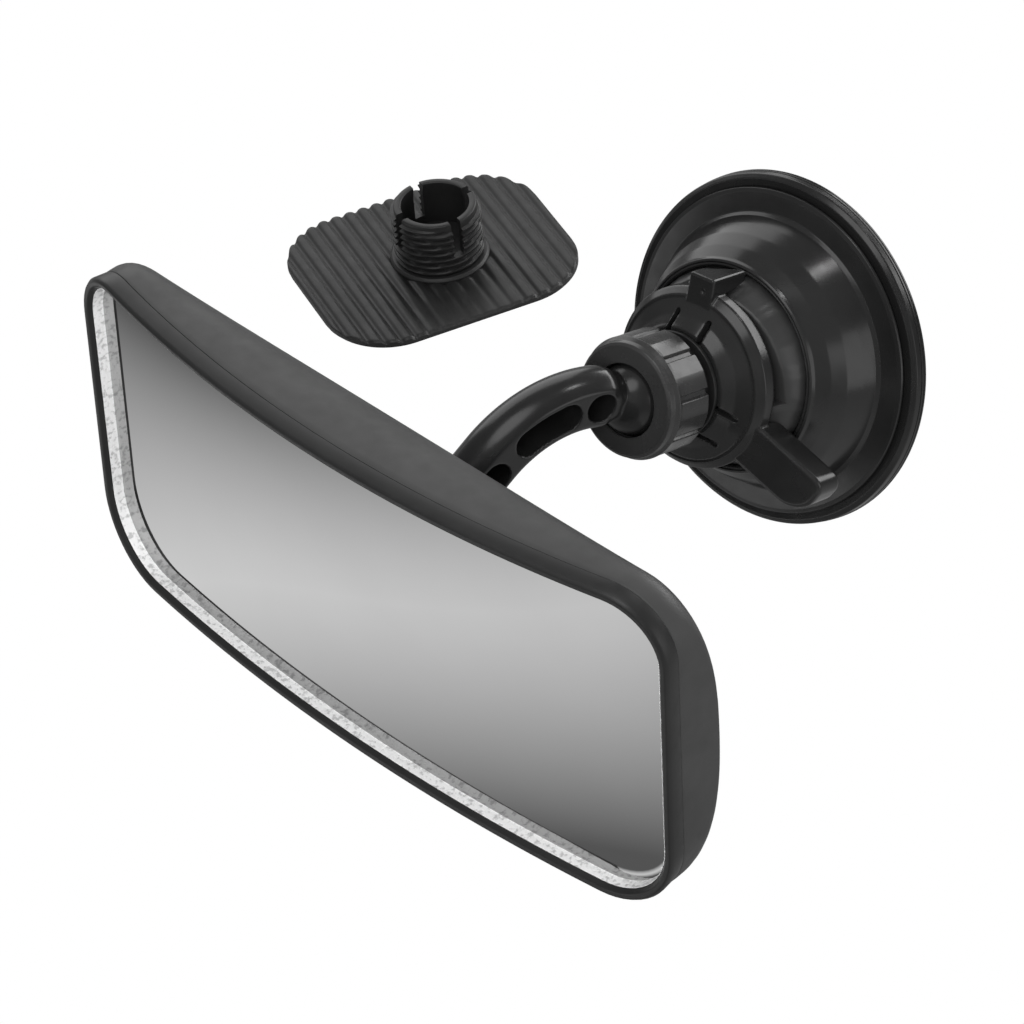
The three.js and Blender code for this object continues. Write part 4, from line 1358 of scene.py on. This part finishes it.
def backdrop():
    """A pale ball round everything, seen by the camera alone."""
    mesh = turned(sphere_arc(BACKDROP_RADIUS, 180, 0, 24), 48)
    mesh.shade_smooth()
    material, glow = emitter("pale_backdrop")
    mesh.materials.append(material)
    obj = bpy.data.objects.new("backdrop", mesh)
    bpy.context.scene.collection.objects.link(obj)
    obj.visible_diffuse = False
    obj.visible_glossy = False
    obj.visible_transmission = False
    obj.visible_shadow = False


def band_levels():
    """Places across the card's band and the level at each, which falls off from the middle."""
    levels = []
    for i in range(-BAND_STEPS, BAND_STEPS + 1):
        share = i / BAND_STEPS
        bright = 1 - abs(share) ** BAND_FALLOFF
        levels.append((share * BAND_EDGE, BAND_DIM + (BAND_BRIGHT - BAND_DIM) * bright))
    return levels


def mirror_card():
    """A soft bright band on a card below the head, seen only in glossy surfaces such as the glass."""
    corners = [(x, y, 0) for x, y in box_plan(-CARD_HALF, CARD_HALF, CARD_HALF)]
    mesh = to_mesh(corners, [(0, 1, 2, 3)])
    material, glow = emitter("banded_card")
    tree = material.node_tree
    across = share_of_axis(tree, "Object", "X", -BAND_EDGE * MM, BAND_EDGE * MM)
    tree.links.new(levelled(tree, across, band_levels(), "LINEAR"), glow.inputs["Color"])
    mesh.materials.append(material)
    obj = bpy.data.objects.new("mirror_card", mesh)
    bpy.context.scene.collection.objects.link(obj)
    place = Matrix.Translation(MIDDLE + Vector(CARD_MIDDLE) * MM)
    obj.matrix_world = place @ Matrix.Rotation(CARD_TURN, 4, "Z")
    obj.visible_camera = False
    obj.visible_diffuse = False
    obj.visible_transmission = False
    obj.visible_shadow = False


def studio_world():
    """Dim surroundings, brightest below and dimmest just over the horizon."""
    world = bpy.data.worlds.new("studio")
    bpy.context.scene.world = world
    world.use_nodes = True
    tree = world.node_tree
    height = share_of_axis(tree, "Generated", "Z", WORLD_LEVELS[0][0], WORLD_LEVELS[-1][0])
    shade = levelled(tree, height, WORLD_LEVELS, "B_SPLINE")
    tree.links.new(shade, tree.nodes["Background"].inputs["Color"])


def direction(azimuth_deg, elevation_deg):
    """Azimuth 0 is towards -Y and 90 towards +X."""
    azimuth = math.radians(azimuth_deg)
    elevation = math.radians(elevation_deg)
    flat = math.cos(elevation)
    return Vector((math.sin(azimuth) * flat, -math.cos(azimuth) * flat, math.sin(elevation)))


def softbox(name, azimuth_deg, elevation_deg, distance, width, height, radiance, glossy=True):
    """An area light, in metres, that faces the head. A square one is round instead."""
    data = bpy.data.lights.new(name, "AREA")
    data.shape = "RECTANGLE" if width != height else "ELLIPSE"
    data.size = width
    data.size_y = height
    data.energy = radiance * math.pi * width * height
    light = bpy.data.objects.new(name, data)
    towards = direction(azimuth_deg, elevation_deg)
    light.location = MIDDLE + towards * distance
    light.rotation_euler = towards.to_track_quat("Z", "Y").to_euler()
    light.visible_camera = False
    light.visible_glossy = glossy
    bpy.context.scene.collection.objects.link(light)


def camera():
    data = bpy.data.cameras.new("camera")
    data.lens = LENS_MM
    data.sensor_width = 36
    data.clip_end = 20
    obj = bpy.data.objects.new("camera", data)
    bpy.context.scene.collection.objects.link(obj)
    back = direction(VIEW_AZIMUTH, VIEW_ELEVATION)
    level = Vector((0, 0, 1)).cross(back).normalized()
    upright = back.cross(level)
    right = level * math.cos(VIEW_ROLL) + upright * math.sin(VIEW_ROLL)
    up = back.cross(right)
    eye = MIDDLE + back * VIEW_DISTANCE + right * VIEW_ASIDE + up * VIEW_ABOVE
    obj.matrix_world = basis(right, up, back, eye)
    bpy.context.scene.camera = obj


backdrop()
mirror_card()
camera()
studio_world()
softbox("left_window", -118, 24, 0.9, 0.8, 0.7, 1.3)
softbox("back_lamp", 165, 55, 0.9, 0.1, 0.1, 11)
softbox("right_panel", 108, 8, 0.9, 0.4, 0.6, 1.1)
softbox("top_panel", 20, 75, 1.0, 0.7, 0.7, 1.6)
softbox("front_fill", 40, 30, 1.2, 0.9, 0.9, 5.0, glossy=False)
softbox("front_panel", -30, -4, 0.9, 0.45, 0.45, 1.0)
softbox("back_panel", 176, 17, 0.9, 0.9, 0.3, 4.0)
bpy.context.scene.view_settings.view_transform = "Standard"
